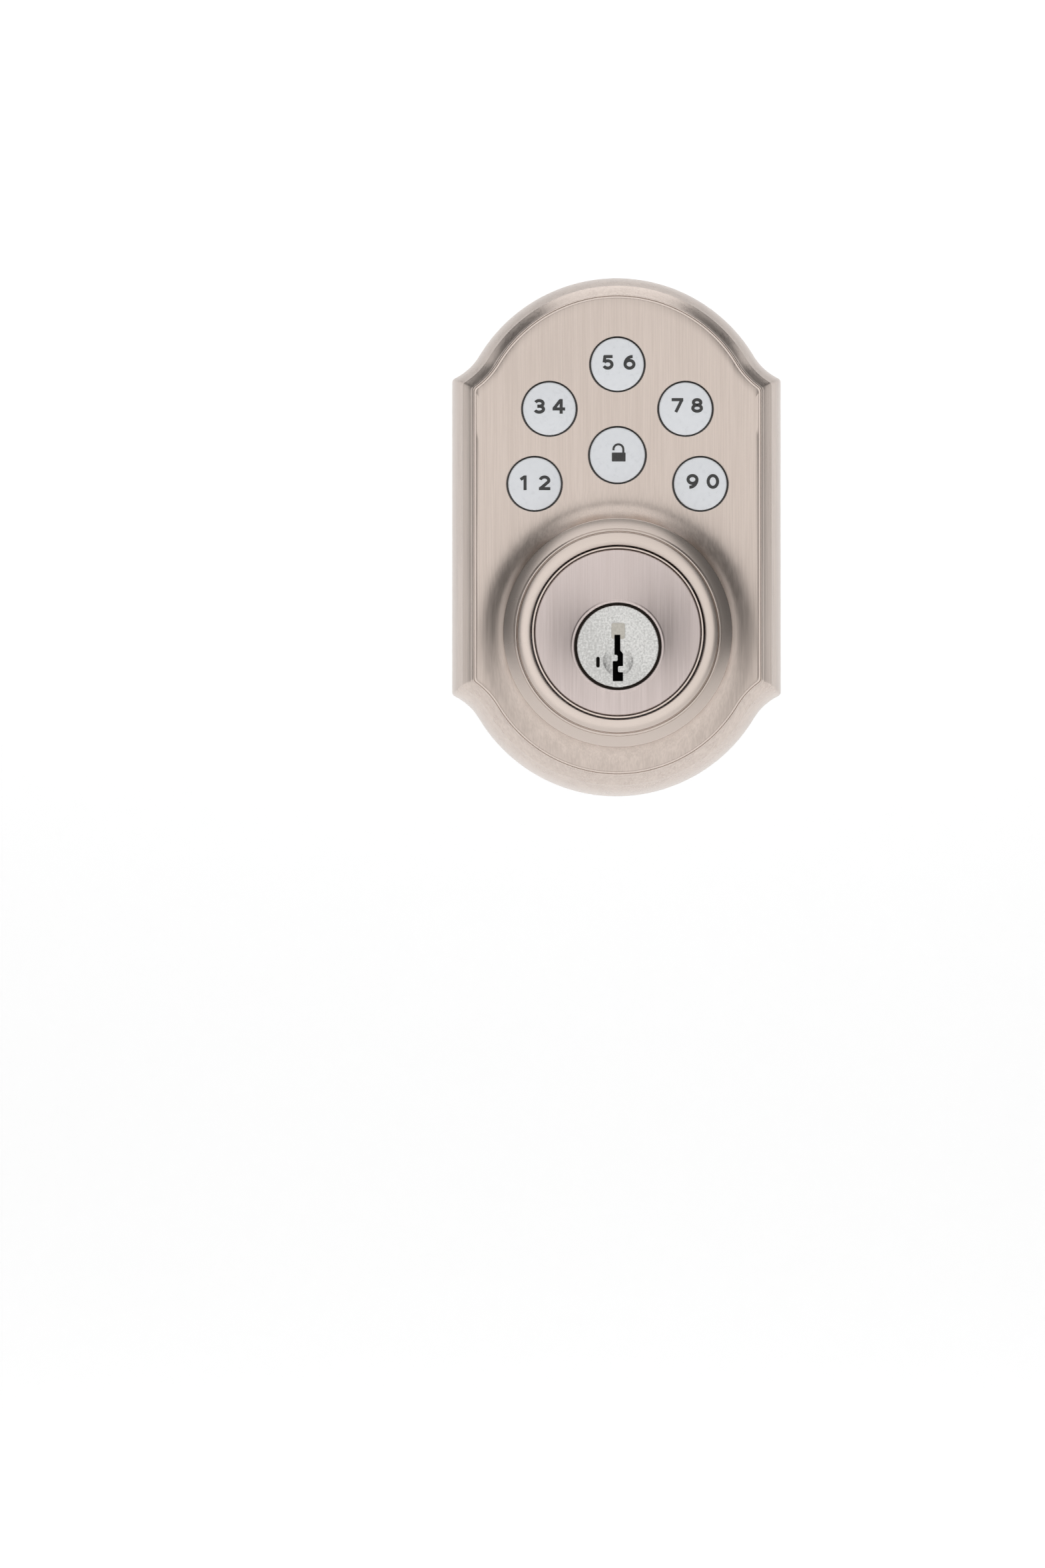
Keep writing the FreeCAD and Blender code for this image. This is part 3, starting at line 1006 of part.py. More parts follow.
def thumbturn():
    """The knob on the room side, keyed to the hub's square end and held by one screw."""
    grip_y = f"({TURN_Y} + turn_disc_thick)"
    end = f"({grip_y} + turn_grip_height)"
    seat = f"({TURN_Y} + turn_seat_raise)"
    body = new_body("thumbturn")
    revolve(body, [
        ("0", f"{HUB_END_Y} + play"), ("turn_stem_radius", f"{HUB_END_Y} + play"),
        ("turn_stem_radius", TURN_Y), ("turn_disc_radius", TURN_Y),
        ("turn_disc_radius", f"{grip_y} - turn_edge"), ("turn_disc_radius - turn_edge", grip_y),
        ("0", grip_y),
    ])
    half = "turn_grip_width / 2"
    grip = polygon(body, "XZ_Plane", [
        (f"-({half}) * turn_tip_part", "-(turn_grip_half)"),
        (f"{half} * turn_tip_part", "-(turn_grip_half)"),
        (half, "-(turn_grip_half) * turn_shoulder_part"), (half, "turn_grip_half * turn_shoulder_part"),
        (f"{half} * turn_tip_part", "turn_grip_half"), (f"-({half}) * turn_tip_part", "turn_grip_half"),
        (f"-({half})", "turn_grip_half * turn_shoulder_part"),
        (f"-({half})", "-(turn_grip_half) * turn_shoulder_part"),
    ], f"-({grip_y}) + 0.5")
    pad(body, grip, "turn_grip_height + 0.5")
    room = "tenon_half + 0.1"
    socket = polygon(body, "XZ_Plane", [(f"-({room})", f"-({room})"), (room, f"-({room})"),
                                        (room, room), (f"-({room})", room)], f"-({HUB_END_Y}) + overrun")
    pocket(body, socket, "socket_depth")
    shank = circles(body, "XZ_Plane", [("0", "0", "turn_screw_radius + screw_gap")], f"-({HUB_END_Y})")
    pocket(body, shank, f"{end} - ({HUB_END_Y})")
    well = circles(body, "XZ_Plane", [("0", "0", "turn_screw_head + 0.2")], f"-({seat})")
    pocket(body, well, f"{end} - ({seat}) + overrun")
    piece("thumbturn_screw", screw("0", "0", seat, TURN_TIP_Y, "turn_screw_radius", "turn_screw_head",
                                   "2.2"))


def harness():
    """The cable from the keypad's plug down, back through the door and down to the board's plug."""
    x = size("wire_x")
    front, back = size("wire_front_y"), size(WIRE_BACK_Y)
    high, level, low = size("wire_front_top"), size("wire_z"), size("wire_back_bottom")
    bend_front = 0.45 * (high - level)
    bend_back = 0.45 * (level - low)
    lean = math.sqrt(0.5)
    edges = [
        Part.LineSegment(V(x, front, high), V(x, front, level + bend_front)).toShape(),
        Part.Arc(V(x, front, level + bend_front),
                 V(x, front + bend_front * (1 - lean), level + bend_front * (1 - lean)),
                 V(x, front + bend_front, level)).toShape(),
        Part.LineSegment(V(x, front + bend_front, level), V(x, back - bend_back, level)).toShape(),
        Part.Arc(V(x, back - bend_back, level),
                 V(x, back - bend_back * (1 - lean), level - bend_back * (1 - lean)),
                 V(x, back, level - bend_back)).toShape(),
        Part.LineSegment(V(x, back, level - bend_back), V(x, back, low)).toShape(),
    ]
    path = Part.Wire(edges)
    radius = size("wire_radius")
    ring = Part.Wire([Part.Circle(V(x, front, high), V(0, 0, 1), radius).toShape()])
    tube = path.makePipeShell([ring], True, False)
    expected = math.pi * radius ** 2 * path.Length
    print(f"wire_harness bend radii {bend_front:.2f} and {bend_back:.2f} mm,"
          f" volume {tube.Volume:.1f} of {expected:.1f} mm3")
    piece("wire_harness", shaped(tube, "wire"))


# ---------------------------------------------------------------- build and write

for name, x, z, radius in BUTTONS:
    button(name, x, z, radius)
housing()
keypad()
exterior_fixings()
cylinder_body()
cylinder_plug()
pins()
blade()
mounting_plate()
chassis()
cells_and_contacts()
gears()
gear_cover()
control_board()
interior_cover()
thumbturn()
harness()
doc.recompute()

failed = [item.Label for item in doc.Objects if {"Invalid", "Error"} & set(item.State)]
failed += [item.Label for item in PIECES if item.Shape.isNull() or not item.Shape.isValid()]
if failed:
    raise RuntimeError(f"these did not build: {failed}")
os.makedirs("parts", exist_ok=True)
for item in PIECES:
    item.Shape.exportStep(f"parts/{item.Label}.step")
    print(f"{item.Label}: {len(item.Shape.Solids)} solids, {item.Shape.Volume:.1f} mm3")
print(f"{len(PIECES)} sub-parts")
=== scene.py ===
# %% [markdown]
# # A keypad door lock
# The lock comes in as a fixed frame of solid pieces. This lesson gives it its camera, its light,
# its finished outer surfaces and a material for every piece. The frame comes first, because every
# later piece takes its place from it.

# %% Load the frame
import json
import math

import bmesh
import bpy
import numpy as np
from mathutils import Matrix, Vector

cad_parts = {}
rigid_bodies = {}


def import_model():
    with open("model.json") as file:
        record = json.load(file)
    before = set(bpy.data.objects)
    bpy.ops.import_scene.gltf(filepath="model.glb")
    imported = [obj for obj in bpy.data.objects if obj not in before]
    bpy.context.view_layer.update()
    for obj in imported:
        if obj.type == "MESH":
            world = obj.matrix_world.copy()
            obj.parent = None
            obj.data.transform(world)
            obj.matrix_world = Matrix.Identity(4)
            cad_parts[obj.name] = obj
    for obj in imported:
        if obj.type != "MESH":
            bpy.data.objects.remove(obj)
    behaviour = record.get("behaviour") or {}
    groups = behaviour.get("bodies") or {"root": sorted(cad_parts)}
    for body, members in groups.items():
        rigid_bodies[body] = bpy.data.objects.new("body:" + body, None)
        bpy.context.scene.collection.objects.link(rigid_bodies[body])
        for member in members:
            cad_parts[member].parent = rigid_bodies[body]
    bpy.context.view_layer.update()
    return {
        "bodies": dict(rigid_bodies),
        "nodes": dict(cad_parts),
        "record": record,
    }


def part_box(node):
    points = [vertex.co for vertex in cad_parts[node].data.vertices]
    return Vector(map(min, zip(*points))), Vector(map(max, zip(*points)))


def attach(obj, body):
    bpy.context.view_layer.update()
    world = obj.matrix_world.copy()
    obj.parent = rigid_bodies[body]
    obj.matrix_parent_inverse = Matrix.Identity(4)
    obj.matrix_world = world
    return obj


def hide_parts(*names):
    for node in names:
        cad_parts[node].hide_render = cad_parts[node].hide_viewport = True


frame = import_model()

NODES = frame["nodes"]
RECORD = frame["record"]
MM = 0.001
KEPT = set(NODES.values()) | set(frame["bodies"].values())
for thing in list(bpy.data.objects):
    if thing not in KEPT:
        bpy.data.objects.remove(thing)

# %% [markdown]
# ## Camera
# The lock is looked at square on, from well back, so a long lens suits it. The camera stands a
# little to the left of the lock and below it, and looks straight along +Y. The lens follows from
# the width of view wanted at the door's face: sensor width times distance, over that width.

# %% Camera
CAMERA_PLACE = (-0.0205, -1.45, -0.0296)
VIEW_HEIGHT = 0.343
camera_data = bpy.data.cameras.new("camera")
camera_data.sensor_width = 36.0
camera_data.lens = camera_data.sensor_width * abs(CAMERA_PLACE[1]) / VIEW_HEIGHT
camera = bpy.data.objects.new("camera", camera_data)
camera.location = CAMERA_PLACE
camera.rotation_euler = (math.radians(90), 0, 0)
camera_data.clip_start, camera_data.clip_end = 0.05, 20
bpy.context.scene.collection.objects.link(camera)
bpy.context.scene.camera = camera
print("lens", round(camera_data.lens, 1), "mm")

# %% [markdown]
# ## Shader arithmetic
# A material is a graph of nodes. Writing it as sums is easier to read, so one small class wraps a
# socket and turns Python's operators into Math nodes, and one method adds every other node. The
# node's settings come before its sockets, because some settings change which sockets there are.

# %% Number sockets and shader graphs
class Number:
    """A socket that carries one number. +, -, * and / add Math nodes; + and - take a number first too."""

    def __init__(self, shader, socket):
        self.shader, self.socket = shader, socket

    def math(self, operation, *terms):
        made = self.shader.node("ShaderNodeMath", {"operation": operation}, dict(enumerate(terms)))
        return Number(self.shader, made.outputs[0])

    def __add__(self, other):
        return self.math("ADD", self, other)

    def __sub__(self, other):
        return self.math("SUBTRACT", self, other)

    def __mul__(self, other):
        return self.math("MULTIPLY", self, other)

    def __truediv__(self, other):
        return self.math("DIVIDE", self, other)

    def __rsub__(self, other):
        return self.math("SUBTRACT", other, self)

    __radd__ = __add__

    def fade(self, low, high, start=0.0, end=1.0):
        """Goes smoothly from start at low to end at high, and stays there on both sides."""
        made = self.shader.node("ShaderNodeMapRange", {"interpolation_type": "SMOOTHSTEP"},
                                {"Value": self, "From Min": low, "From Max": high,
                                 "To Min": start, "To Max": end})
        return Number(self.shader, made.outputs[0])


class Shader:
    """A material with one Principled surface, whose constants are set straight on its sockets."""

    def __init__(self, name, **constants):
        self.material = bpy.data.materials.new(name)
        self.material.use_nodes = True
        self.tree = self.material.node_tree
        self.tree.nodes.clear()
        self.surface = self.node("ShaderNodeBsdfPrincipled")
        self.node("ShaderNodeOutputMaterial", {}, {"Surface": self.surface.outputs[0]})
        for name, value in constants.items():
            self.surface.inputs[name.replace("_", " ").title()].default_value = value

    def node(self, kind, settings=None, inputs=None):
        """Adds a node: its settings first, then each input as a value, a link or a Number."""
        made = self.tree.nodes.new(kind)
        for name, value in (settings or {}).items():
            setattr(made, name, value)
        for name, value in (inputs or {}).items():
            value = value.socket if isinstance(value, Number) else value
            if isinstance(value, bpy.types.NodeSocket):
                self.tree.links.new(value, made.inputs[name])
            else:
                made.inputs[name].default_value = value
        return made

    def feed(self, name, value):
        """Links a socket of the surface."""
        self.tree.links.new(value.socket if isinstance(value, Number) else value,
                            self.surface.inputs[name])

    def place(self):
        """The point on the piece, in metres."""
        return self.node("ShaderNodeTexCoord").outputs["Object"]

    def parts(self, vector):
        """The x, y and z of a vector, as Numbers."""
        split = self.node("ShaderNodeSeparateXYZ", {}, {0: vector})
        return [Number(self, out) for out in split.outputs]

    def join(self, x, y, z):
        return self.node("ShaderNodeCombineXYZ", {}, {0: x, 1: y, 2: z}).outputs[0]

    def noise(self, vector, scale, detail=2.0):
        """Cloudy values about 0.5, with scale in clouds per metre along x, y and z."""
        stretched = self.node("ShaderNodeVectorMath", {"operation": "MULTIPLY"}, {0: vector, 1: scale})
        made = self.node("ShaderNodeTexNoise", {},
                         {"Vector": stretched.outputs[0], "Scale": 1.0, "Detail": detail})
        return Number(self, made.outputs[0])

    def mix(self, factor, first, second):
        """A colour between two colours, each a tuple or a link."""
        colours = [(*c, 1.0) if isinstance(c, tuple) else c for c in (first, second)]
        made = self.node("ShaderNodeMix", {"data_type": "RGBA"},
                         {0: factor, 6: colours[0], 7: colours[1]})
        return made.outputs[2]

    def bump(self, height, distance, strength=1.0):
        """Feeds the surface's Normal from a height."""
        made = self.node("ShaderNodeBump", {}, {"Height": height, "Distance": distance,
                                                "Strength": strength})
        self.feed("Normal", made.outputs[0])


print("shader helpers ready")

# %% [markdown]
# ## Satin nickel
# The shell is metal plate brushed up and down, so its fine lines run along Z. A noise squeezed
# across and stretched along Z looks like that. Round the boss the lines follow the circle, as they
# do when a round tool leaves them, so near it the noise is read by radius and direction instead. Deeper in
# a gap the colour darkens towards black: that is painted shade.

# %% Brushed metals
BOSS_X, BOSS_Z = 0.0, 0.003


def lines_up_down(shader, place, fineness):
    """Brushed lines along Z: fine ones and broad ones, added."""
    fine = shader.noise(place, (fineness, fineness, 70.0), 3.0)
    broad = shader.noise(place, (fineness / 5, fineness / 5, 14.0), 2.0)
    return fine * 0.6 + broad * 0.4


def lines_round(shader, place, fineness, centre_x, centre_z):
    """Brushed lines that follow circles about a centre: noise of radius, and slowly of direction."""
    x, _, z = shader.parts(place)
    across, up = x - centre_x, z - centre_z
    radius = (across * across + up * up).math("SQRT")
    rolled = shader.join(radius, across / radius, up / radius)
    lines = shader.noise(rolled, (fineness, 4.0, 4.0), 3.0)
    return lines, radius


def painted_gap_shade(shader, place, front, back):
    """0 at the front and 1 at the back of a gap, along Y: the mask for shade painted into the gap."""
    _, depth, _ = shader.parts(place)
    return depth.fade(front, back)


def brushed_metal(name, dark, light, roughness, fineness=3200.0, round_boss=False, gap=None):
    """Satin plated metal: the lines vary its colour, its roughness and its height. Given a gap, its colour
    darkens to near black deeper in, as painted shade.
    """
    shader = Shader(name, metallic=1.0)
    place = shader.place()
    lines = lines_up_down(shader, place, fineness)
    if round_boss:
        ringed, radius = lines_round(shader, place, fineness * 0.8, BOSS_X, BOSS_Z)
        far = radius.fade(0.0285, 0.034)
        lines = lines * far + ringed * (1 - far)
    cloud = shader.noise(place, (45.0, 45.0, 30.0), 2.0)
    colour = shader.mix(lines.fade(0.3, 0.72), dark, light)
    colour = shader.mix(cloud * 0.12, colour, tuple(c * 0.75 for c in light))
    # Painted shade: the colour goes to near black with depth into the gap round the piece.
    if gap:
        colour = shader.mix(painted_gap_shade(shader, place, *gap), colour, (0.03, 0.024, 0.02))
    shader.feed("Base Color", colour)
    shader.feed("Roughness", roughness + (lines - 0.5) * 0.25 + (cloud - 0.5) * 0.06)
    shader.bump(lines, 0.00003, 0.5)
    return shader.material


def turned_metal(name, dark, light, roughness, centre=(BOSS_X, BOSS_Z), gap=None, fineness=2600.0):
    """The same plating on a turned part, with its lines round the part. Given a gap, its colour darkens
    inside the bore with depth, as painted shade.
    """
    shader = Shader(name, metallic=1.0)
    place = shader.place()
    lines, radius = lines_round(shader, place, fineness, *centre)
    cloud = shader.noise(place, (60.0, 60.0, 60.0), 2.0)
    colour = shader.mix(lines.fade(0.3, 0.72), dark, light)
    # Painted shade: inside the bore's radius the colour goes to near black with depth into the gap.
    if gap:
        inside = radius.fade(0.01885, 0.01895, 1.0, 0.0)
        colour = shader.mix(painted_gap_shade(shader, place, *gap) * inside, colour, (0.03, 0.024, 0.02))
    shader.feed("Base Color", colour)
    shader.feed("Roughness", roughness + (lines - 0.5) * 0.15 + (cloud - 0.5) * 0.06)
    shader.bump(lines, 0.00002, 0.4)
    return shader.material


NICKEL_DARK, NICKEL_LIGHT = (0.55, 0.47, 0.42), (0.69, 0.595, 0.535)
plate_nickel = brushed_metal("plate_nickel", NICKEL_DARK, NICKEL_LIGHT, 0.38, round_boss=True)
moulding_nickel = brushed_metal("moulding_nickel", (0.56, 0.485, 0.44), (0.68, 0.595, 0.54), 0.3, 2200.0)
# The boss and the cylinder face get painted shade, darker deeper in the gaps between boss, disc and plug.
boss_nickel = turned_metal("boss_nickel", (0.53, 0.46, 0.413), (0.65, 0.565, 0.513), 0.26,
                           gap=(-0.0245, -0.0238))
disc_nickel = brushed_metal("disc_nickel", (0.58, 0.5, 0.475), (0.71, 0.62, 0.595), 0.4, 3600.0,
                            gap=(-0.0243, -0.0233))
print("nickel finishes:", plate_nickel.name, moulding_nickel.name, boss_nickel.name, disc_nickel.name)

# %% [markdown]
# ## Cast plug metal, plastics and the rest
# The key plug is cast and plated, so it sparkles with fine grain instead of lines. The plastics
# differ in grain and gloss. Each has its colour vary a little, because no moulded or plated
# surface is one flat colour.

# %% Grained finishes
def grained(name, dark, light, roughness, grain, depth, metallic=0.0, coat=0.0, wear=0.0, gap=None, **more):
    """A finish with round grain: grain is its clouds per metre and depth its height in metres. Given a gap,
    its colour darkens with depth, as painted shade.
    """
    shader = Shader(name, metallic=metallic, coat_weight=coat, **more)
    place = shader.place()
    fine = shader.noise(place, (grain, grain, grain), 3.0)
    cloud = shader.noise(place, (90.0, 90.0, 90.0), 3.0)
    colour = shader.mix((fine * 0.7 + cloud * 0.3).fade(0.35, 0.65), dark, light)
    if wear:
        marks = shader.noise(place, (420.0, 420.0, 420.0), 4.0).fade(0.62, 0.7) * wear
        colour = shader.mix(marks, colour, tuple(min(1.0, c * 1.5 + 0.05) for c in light))
    # Painted shade: the colour goes to near black with depth into the gap round the piece.
    if gap:
        colour = shader.mix(painted_gap_shade(shader, place, *gap), colour, (0.02, 0.018, 0.016))
    shader.feed("Base Color", colour)
    shader.feed("Roughness", roughness + (fine - 0.5) * 0.2 + (cloud - 0.5) * 0.1)
    shader.bump(fine, depth)
    return shader.material


# The plug and the button caps get painted shade, darker deeper in the gaps round them.
plug_cast = grained("plug_cast", (0.5, 0.495, 0.48), (0.8, 0.795, 0.775), 0.4, 2200.0, 0.00006,
                    metallic=1.0, gap=(-0.0247, -0.0236))
cap_white = grained("cap_white", (0.88, 0.9, 0.93), (0.91, 0.93, 0.96), 0.3, 900.0, 0.000002,
                    coat=0.3, gap=(-0.0189, -0.0182))
window_beige = grained("window_beige", (0.5, 0.475, 0.42), (0.62, 0.59, 0.53), 0.45, 2600.0, 0.00002,
                       metallic=0.7)
mark_grey = grained("mark_grey", (0.035, 0.035, 0.035), (0.05, 0.05, 0.05), 0.5, 3000.0, 0.000004)
SLOT_FINISHES = {
    "satin_nickel": brushed_metal("satin_nickel", NICKEL_DARK, NICKEL_LIGHT, 0.34),
    "plug_metal": plug_cast,
    "white_cap": cap_white,
    "grey_rubber": grained("grey_rubber", (0.27, 0.28, 0.29), (0.34, 0.35, 0.36), 0.6, 1500.0, 0.00001),
    "black_rubber": grained("black_rubber", (0.03, 0.03, 0.03), (0.06, 0.06, 0.06), 0.75, 2500.0, 0.00004),
    "board_green": grained("board_green", (0.02, 0.13, 0.07), (0.035, 0.19, 0.1), 0.35, 700.0, 0.000005,
                           coat=0.4),
    "black_plastic": grained("black_plastic", (0.025, 0.025, 0.028), (0.045, 0.045, 0.05), 0.5, 2600.0,
                             0.00003),
    "white_plastic": grained("white_plastic", (0.74, 0.73, 0.7), (0.8, 0.79, 0.76), 0.4, 1200.0, 0.000005),
    "gear_plastic": grained("gear_plastic", (0.72, 0.7, 0.62), (0.8, 0.78, 0.7), 0.35, 800.0, 0.000005),
    "clear_plastic": grained("clear_plastic", (0.75, 0.79, 0.81), (0.82, 0.86, 0.88), 0.12, 300.0, 0.000002,
                             coat=0.5),
    "brass": grained("brass", (0.62, 0.44, 0.2), (0.74, 0.56, 0.29), 0.28, 2000.0, 0.00001, metallic=1.0),
    "zinc_steel": grained("zinc_steel", (0.5, 0.51, 0.53), (0.64, 0.65, 0.66), 0.34, 1800.0, 0.00002,
                          metallic=1.0, wear=0.2),
    "spring_steel": grained("spring_steel", (0.58, 0.58, 0.57), (0.7, 0.7, 0.69), 0.22, 1500.0, 0.00001,
                            metallic=1.0),
    "motor_can": grained("motor_can", (0.5, 0.5, 0.49), (0.62, 0.62, 0.61), 0.3, 900.0, 0.00001,
                         metallic=1.0),
    "cell_jacket": grained("cell_jacket", (0.06, 0.07, 0.085), (0.11, 0.12, 0.14), 0.25, 500.0, 0.000003,
                           coat=0.5),
    "wire_jacket": grained("wire_jacket", (0.045, 0.045, 0.05), (0.07, 0.07, 0.075), 0.45, 1400.0, 0.00001),
    "led_body": grained("led_body", (0.82, 0.8, 0.62), (0.92, 0.92, 0.8), 0.25, 900.0, 0.000002, coat=0.5),
}
NODE_SLOT = {row["node"]: row["material_slot"] for row in RECORD["subparts"]}
for node, slot in NODE_SLOT.items():
    NODES[node].data.materials.clear()
    NODES[node].data.materials.append(SLOT_FINISHES[slot])
print(len(SLOT_FINISHES), "finishes on", len(NODE_SLOT), "pieces")

# %% [markdown]
# ## Surfaces from arrays
# Every new surface is an array of points on a grid. One function joins a grid into four-cornered
# faces, and one puts arrays into a mesh, joins points that meet and turns the faces outwards.
# Small roundings matter on metal, because they catch the light, so a third function rounds the
# corners of any outline.

# %% Mesh helpers
def ring_faces(rows, columns, closed=True):
    """Faces between neighbouring rows of a grid, with the columns closed into a ring."""
    row, column = np.meshgrid(np.arange(rows if closed else rows - 1), np.arange(columns), indexing="ij")
    next_row, next_column = (row + 1) % rows, (column + 1) % columns
    corners = [row * columns + column, next_row * columns + column,
               next_row * columns + next_column, row * columns + next_column]
    return np.stack(corners, -1).reshape(-1, 4)


def tidy_mesh(mesh, sharp=32.0):
    """Joins points that meet, turns faces outwards, and smooths all but the sharp edges."""
    work = bmesh.new()
    work.from_mesh(mesh)
    bmesh.ops.remove_doubles(work, verts=work.verts, dist=1e-6)
    bmesh.ops.recalc_face_normals(work, faces=work.faces)
    work.to_mesh(mesh)
    work.free()
    mesh.polygons.foreach_set("use_smooth", np.ones(len(mesh.polygons), bool))
    mesh.set_sharp_from_angle(angle=math.radians(sharp))
    return mesh


def grid_mesh(name, points, faces):
    """A mesh from points in millimetres and faces as arrays of point numbers."""
    mesh = bpy.data.meshes.new(name)
    mesh.from_pydata((np.reshape(points, (-1, 3)) * MM).tolist(), [], [list(map(int, f)) for f in faces])
    return tidy_mesh(mesh)


def soften(corners, radius, steps=5):
    """Rounds the corners of a closed outline: each becomes the curve (1-t)^2 a + 2t(1-t) p + t^2 b
    from a point a before the corner p to a point b after it, radius away along its sides."""
    corners = np.asarray(corners, float)
    reach = np.broadcast_to(radius, len(corners))[:, None]
    before, after = np.roll(corners, 1, 0) - corners, np.roll(corners, -1, 0) - corners
    a = corners + before * np.minimum(reach / np.linalg.norm(before, axis=1, keepdims=True), 0.48)
    b = corners + after * np.minimum(reach / np.linalg.norm(after, axis=1, keepdims=True), 0.48)
    t = np.linspace(0, 1, steps + 1)[None, :, None]
    curve = (1 - t) ** 2 * a[:, None] + 2 * t * (1 - t) * corners[:, None] + t ** 2 * b[:, None]
    return curve.reshape(-1, corners.shape[1])


def circle(x, z, radius, steps=160):
    """Points (x, z) round a circle."""
    turn = np.linspace(0, 2 * np.pi, steps, endpoint=False)
    return np.stack([x + radius * np.cos(turn), z + radius * np.sin(turn)], -1)


def ringed_mesh(name, levels, steps=192, closed=True):
    """Circles given as rows of (centre x, centre z, radius, y), joined one to the next."""
    levels = np.asarray(levels, float)
    turn = np.linspace(0, 2 * np.pi, steps, endpoint=False)[None, :]
    x = levels[:, 0, None] + levels[:, 2, None] * np.cos(turn)
    z = levels[:, 1, None] + levels[:, 2, None] * np.sin(turn)
    y = np.broadcast_to(levels[:, 3, None], x.shape)
    return grid_mesh(name, np.stack([x, y, z], -1), ring_faces(len(levels), steps, closed))


def turned_levels(profile, x=0.0, z=0.0):
    """Levels of circles about one axis, from a profile of (radius, y)."""
    profile = np.asarray(profile, float)
    return np.column_stack([np.full(len(profile), x), np.full(len(profile), z), profile])


def new_piece(name, mesh, finish, body, stands_for=()):
    """Links a mesh as a piece that moves with a body and stands for its solids."""
    mesh.materials.clear()
    mesh.materials.append(finish)
    piece = bpy.data.objects.new(name, mesh)
    bpy.context.scene.collection.objects.link(piece)
    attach(piece, body)
    if stands_for:
        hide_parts(*stands_for)
    print(name, len(mesh.polygons), "faces")
    return piece


# %% [markdown]
# ## The shell's outline
# Seen from the front the shell is a tall shape with an arch above and below, a hollow shoulder at
# each corner and straight sides. The arch and the hollow are arcs that touch without a kink. Moved
# inwards, an arch shrinks and a hollow grows, which is what mitred mouldings do.

# %% Outline function
HALF_WIDTH, ARCH, ARCH_RISE, SHOULDER = 35.875, 35.0, 21.5, 34.4
COVE_TURN = math.radians(31.0)
BODY_Z = 24.2
# Depths that several pieces share: the shell's rim at the door, and the back of its face plate.
SHELL_RIM, PLATE_BACK = -0.8, -17.0
ALONG = np.array([math.cos(COVE_TURN), math.sin(COVE_TURN)])
REACH = np.array([0, ARCH_RISE]) + ALONG * ARCH - np.array([HALF_WIDTH, SHOULDER])
COVE = -(REACH @ REACH) / (2 * REACH @ ALONG)
HOLLOW = np.array([0, ARCH_RISE]) + ALONG * (ARCH + COVE)


def arc(centre, radius, start, end, steps):
    """Arcs about one centre, one row for each radius, from start to end in radians."""
    turn = start + (end - start) * np.linspace(0, 1, steps)
    return centre + radius[..., None] * np.stack([np.cos(turn), np.sin(turn)], -1)


def shell_outline(inset, corner=0.7):
    """The outline moved inwards by each inset: rows of (x, z) points, clockwise from the crown."""
    inset = np.atleast_1d(np.asarray(inset, float))[:, None]
    side = HALF_WIDTH - inset
    swing = np.arccos((HOLLOW[0] - side) / (COVE + inset)) + math.pi
    back = corner / (COVE + inset)
    arch = arc(np.array([0, ARCH_RISE]), ARCH - inset, math.pi / 2, COVE_TURN, 72)
    cove = arc(HOLLOW, COVE + inset, COVE_TURN + math.pi, swing - back, 18)[:, 1:]
    tip = HOLLOW + (COVE + inset)[..., None] * np.stack([np.cos(swing), np.sin(swing)], -1)
    below = tip - np.array([0, corner])
    t = np.linspace(0, 1, 7)[1:, None]
    turn = (1 - t) ** 2 * cove[:, -1:] + 2 * t * (1 - t) * tip + t ** 2 * below
    drop = below * (1 - np.linspace(0, 1, 14)[1:, None] * np.array([0, 1]))
    quarter = np.concatenate([arch, cove, turn, drop], 1)
    flips = [quarter[:, :-1], (quarter * [1, -1])[:, ::-1][:, :-1],
             (-quarter)[:, :-1], (quarter * [-1, 1])[:, ::-1][:, :-1]]
    return np.concatenate(flips, 1) + np.array([0, BODY_Z])


print("outline points:", shell_outline([0.0]).shape)

# %% [markdown]
# ## Border moulding
# The shell's edge is a stepped moulding: a steep outer band that curves in, a flatter second band,
# a thin raised lip and a groove. It is one profile of inset and depth, carried round the outline,
# so the steps meet in mitres at the shoulders.

# %% Moulding
band = np.linspace(0, 1, 16)
OUTER_WIDE, OUTER_DEEP = 2.35, 14.2
outer_band = np.stack([OUTER_WIDE * band ** 3, SHELL_RIM - OUTER_DEEP * band], -1)
second = np.linspace(0, 1, 8)
second_band = np.stack([2.5 + 1.86 * second, -15.38 - 2.27 * second - 0.16 * np.sin(np.pi * second)], -1)
lip = [(4.38, -17.7), (4.41, -18.5), (4.45, -18.66), (4.55, -18.78), (4.68, -18.84), (4.8, -18.83),
       (4.88, -18.76), (4.9, -18.65), (4.9, -18.35), (4.95, -18.3), (5.6, -18.3)]
WALL, STEP_INSET, STEP_DEPTH = 2.6, 6.6, -12.5
inside = [(STEP_INSET, PLATE_BACK), (STEP_INSET, STEP_DEPTH), (WALL, STEP_DEPTH), (WALL, SHELL_RIM)]
profile = np.concatenate([outer_band, [(2.38, -15.1), (2.42, -15.28)], second_band, lip, inside])
rows = shell_outline(profile[:, 0])
points = np.stack([rows[..., 0], np.broadcast_to(profile[:, 1, None], rows.shape[:2]), rows[..., 1]], -1)
moulding_mesh = grid_mesh("housing_moulding", points, ring_faces(*rows.shape[:2]))
new_piece("housing_moulding", moulding_mesh, moulding_nickel, "lock_body",
          ["exterior_housing"])

# %% [markdown]
# ## Flat pieces and the buttons' places
# A thin sheet, such as a printed mark, starts as a flat curve. Blender fills it, and the curve's
# bevel rounds both rims. The curve is made a mesh, and only then laid upright in its place. Each
# button's place and size are read from the box of its solid.

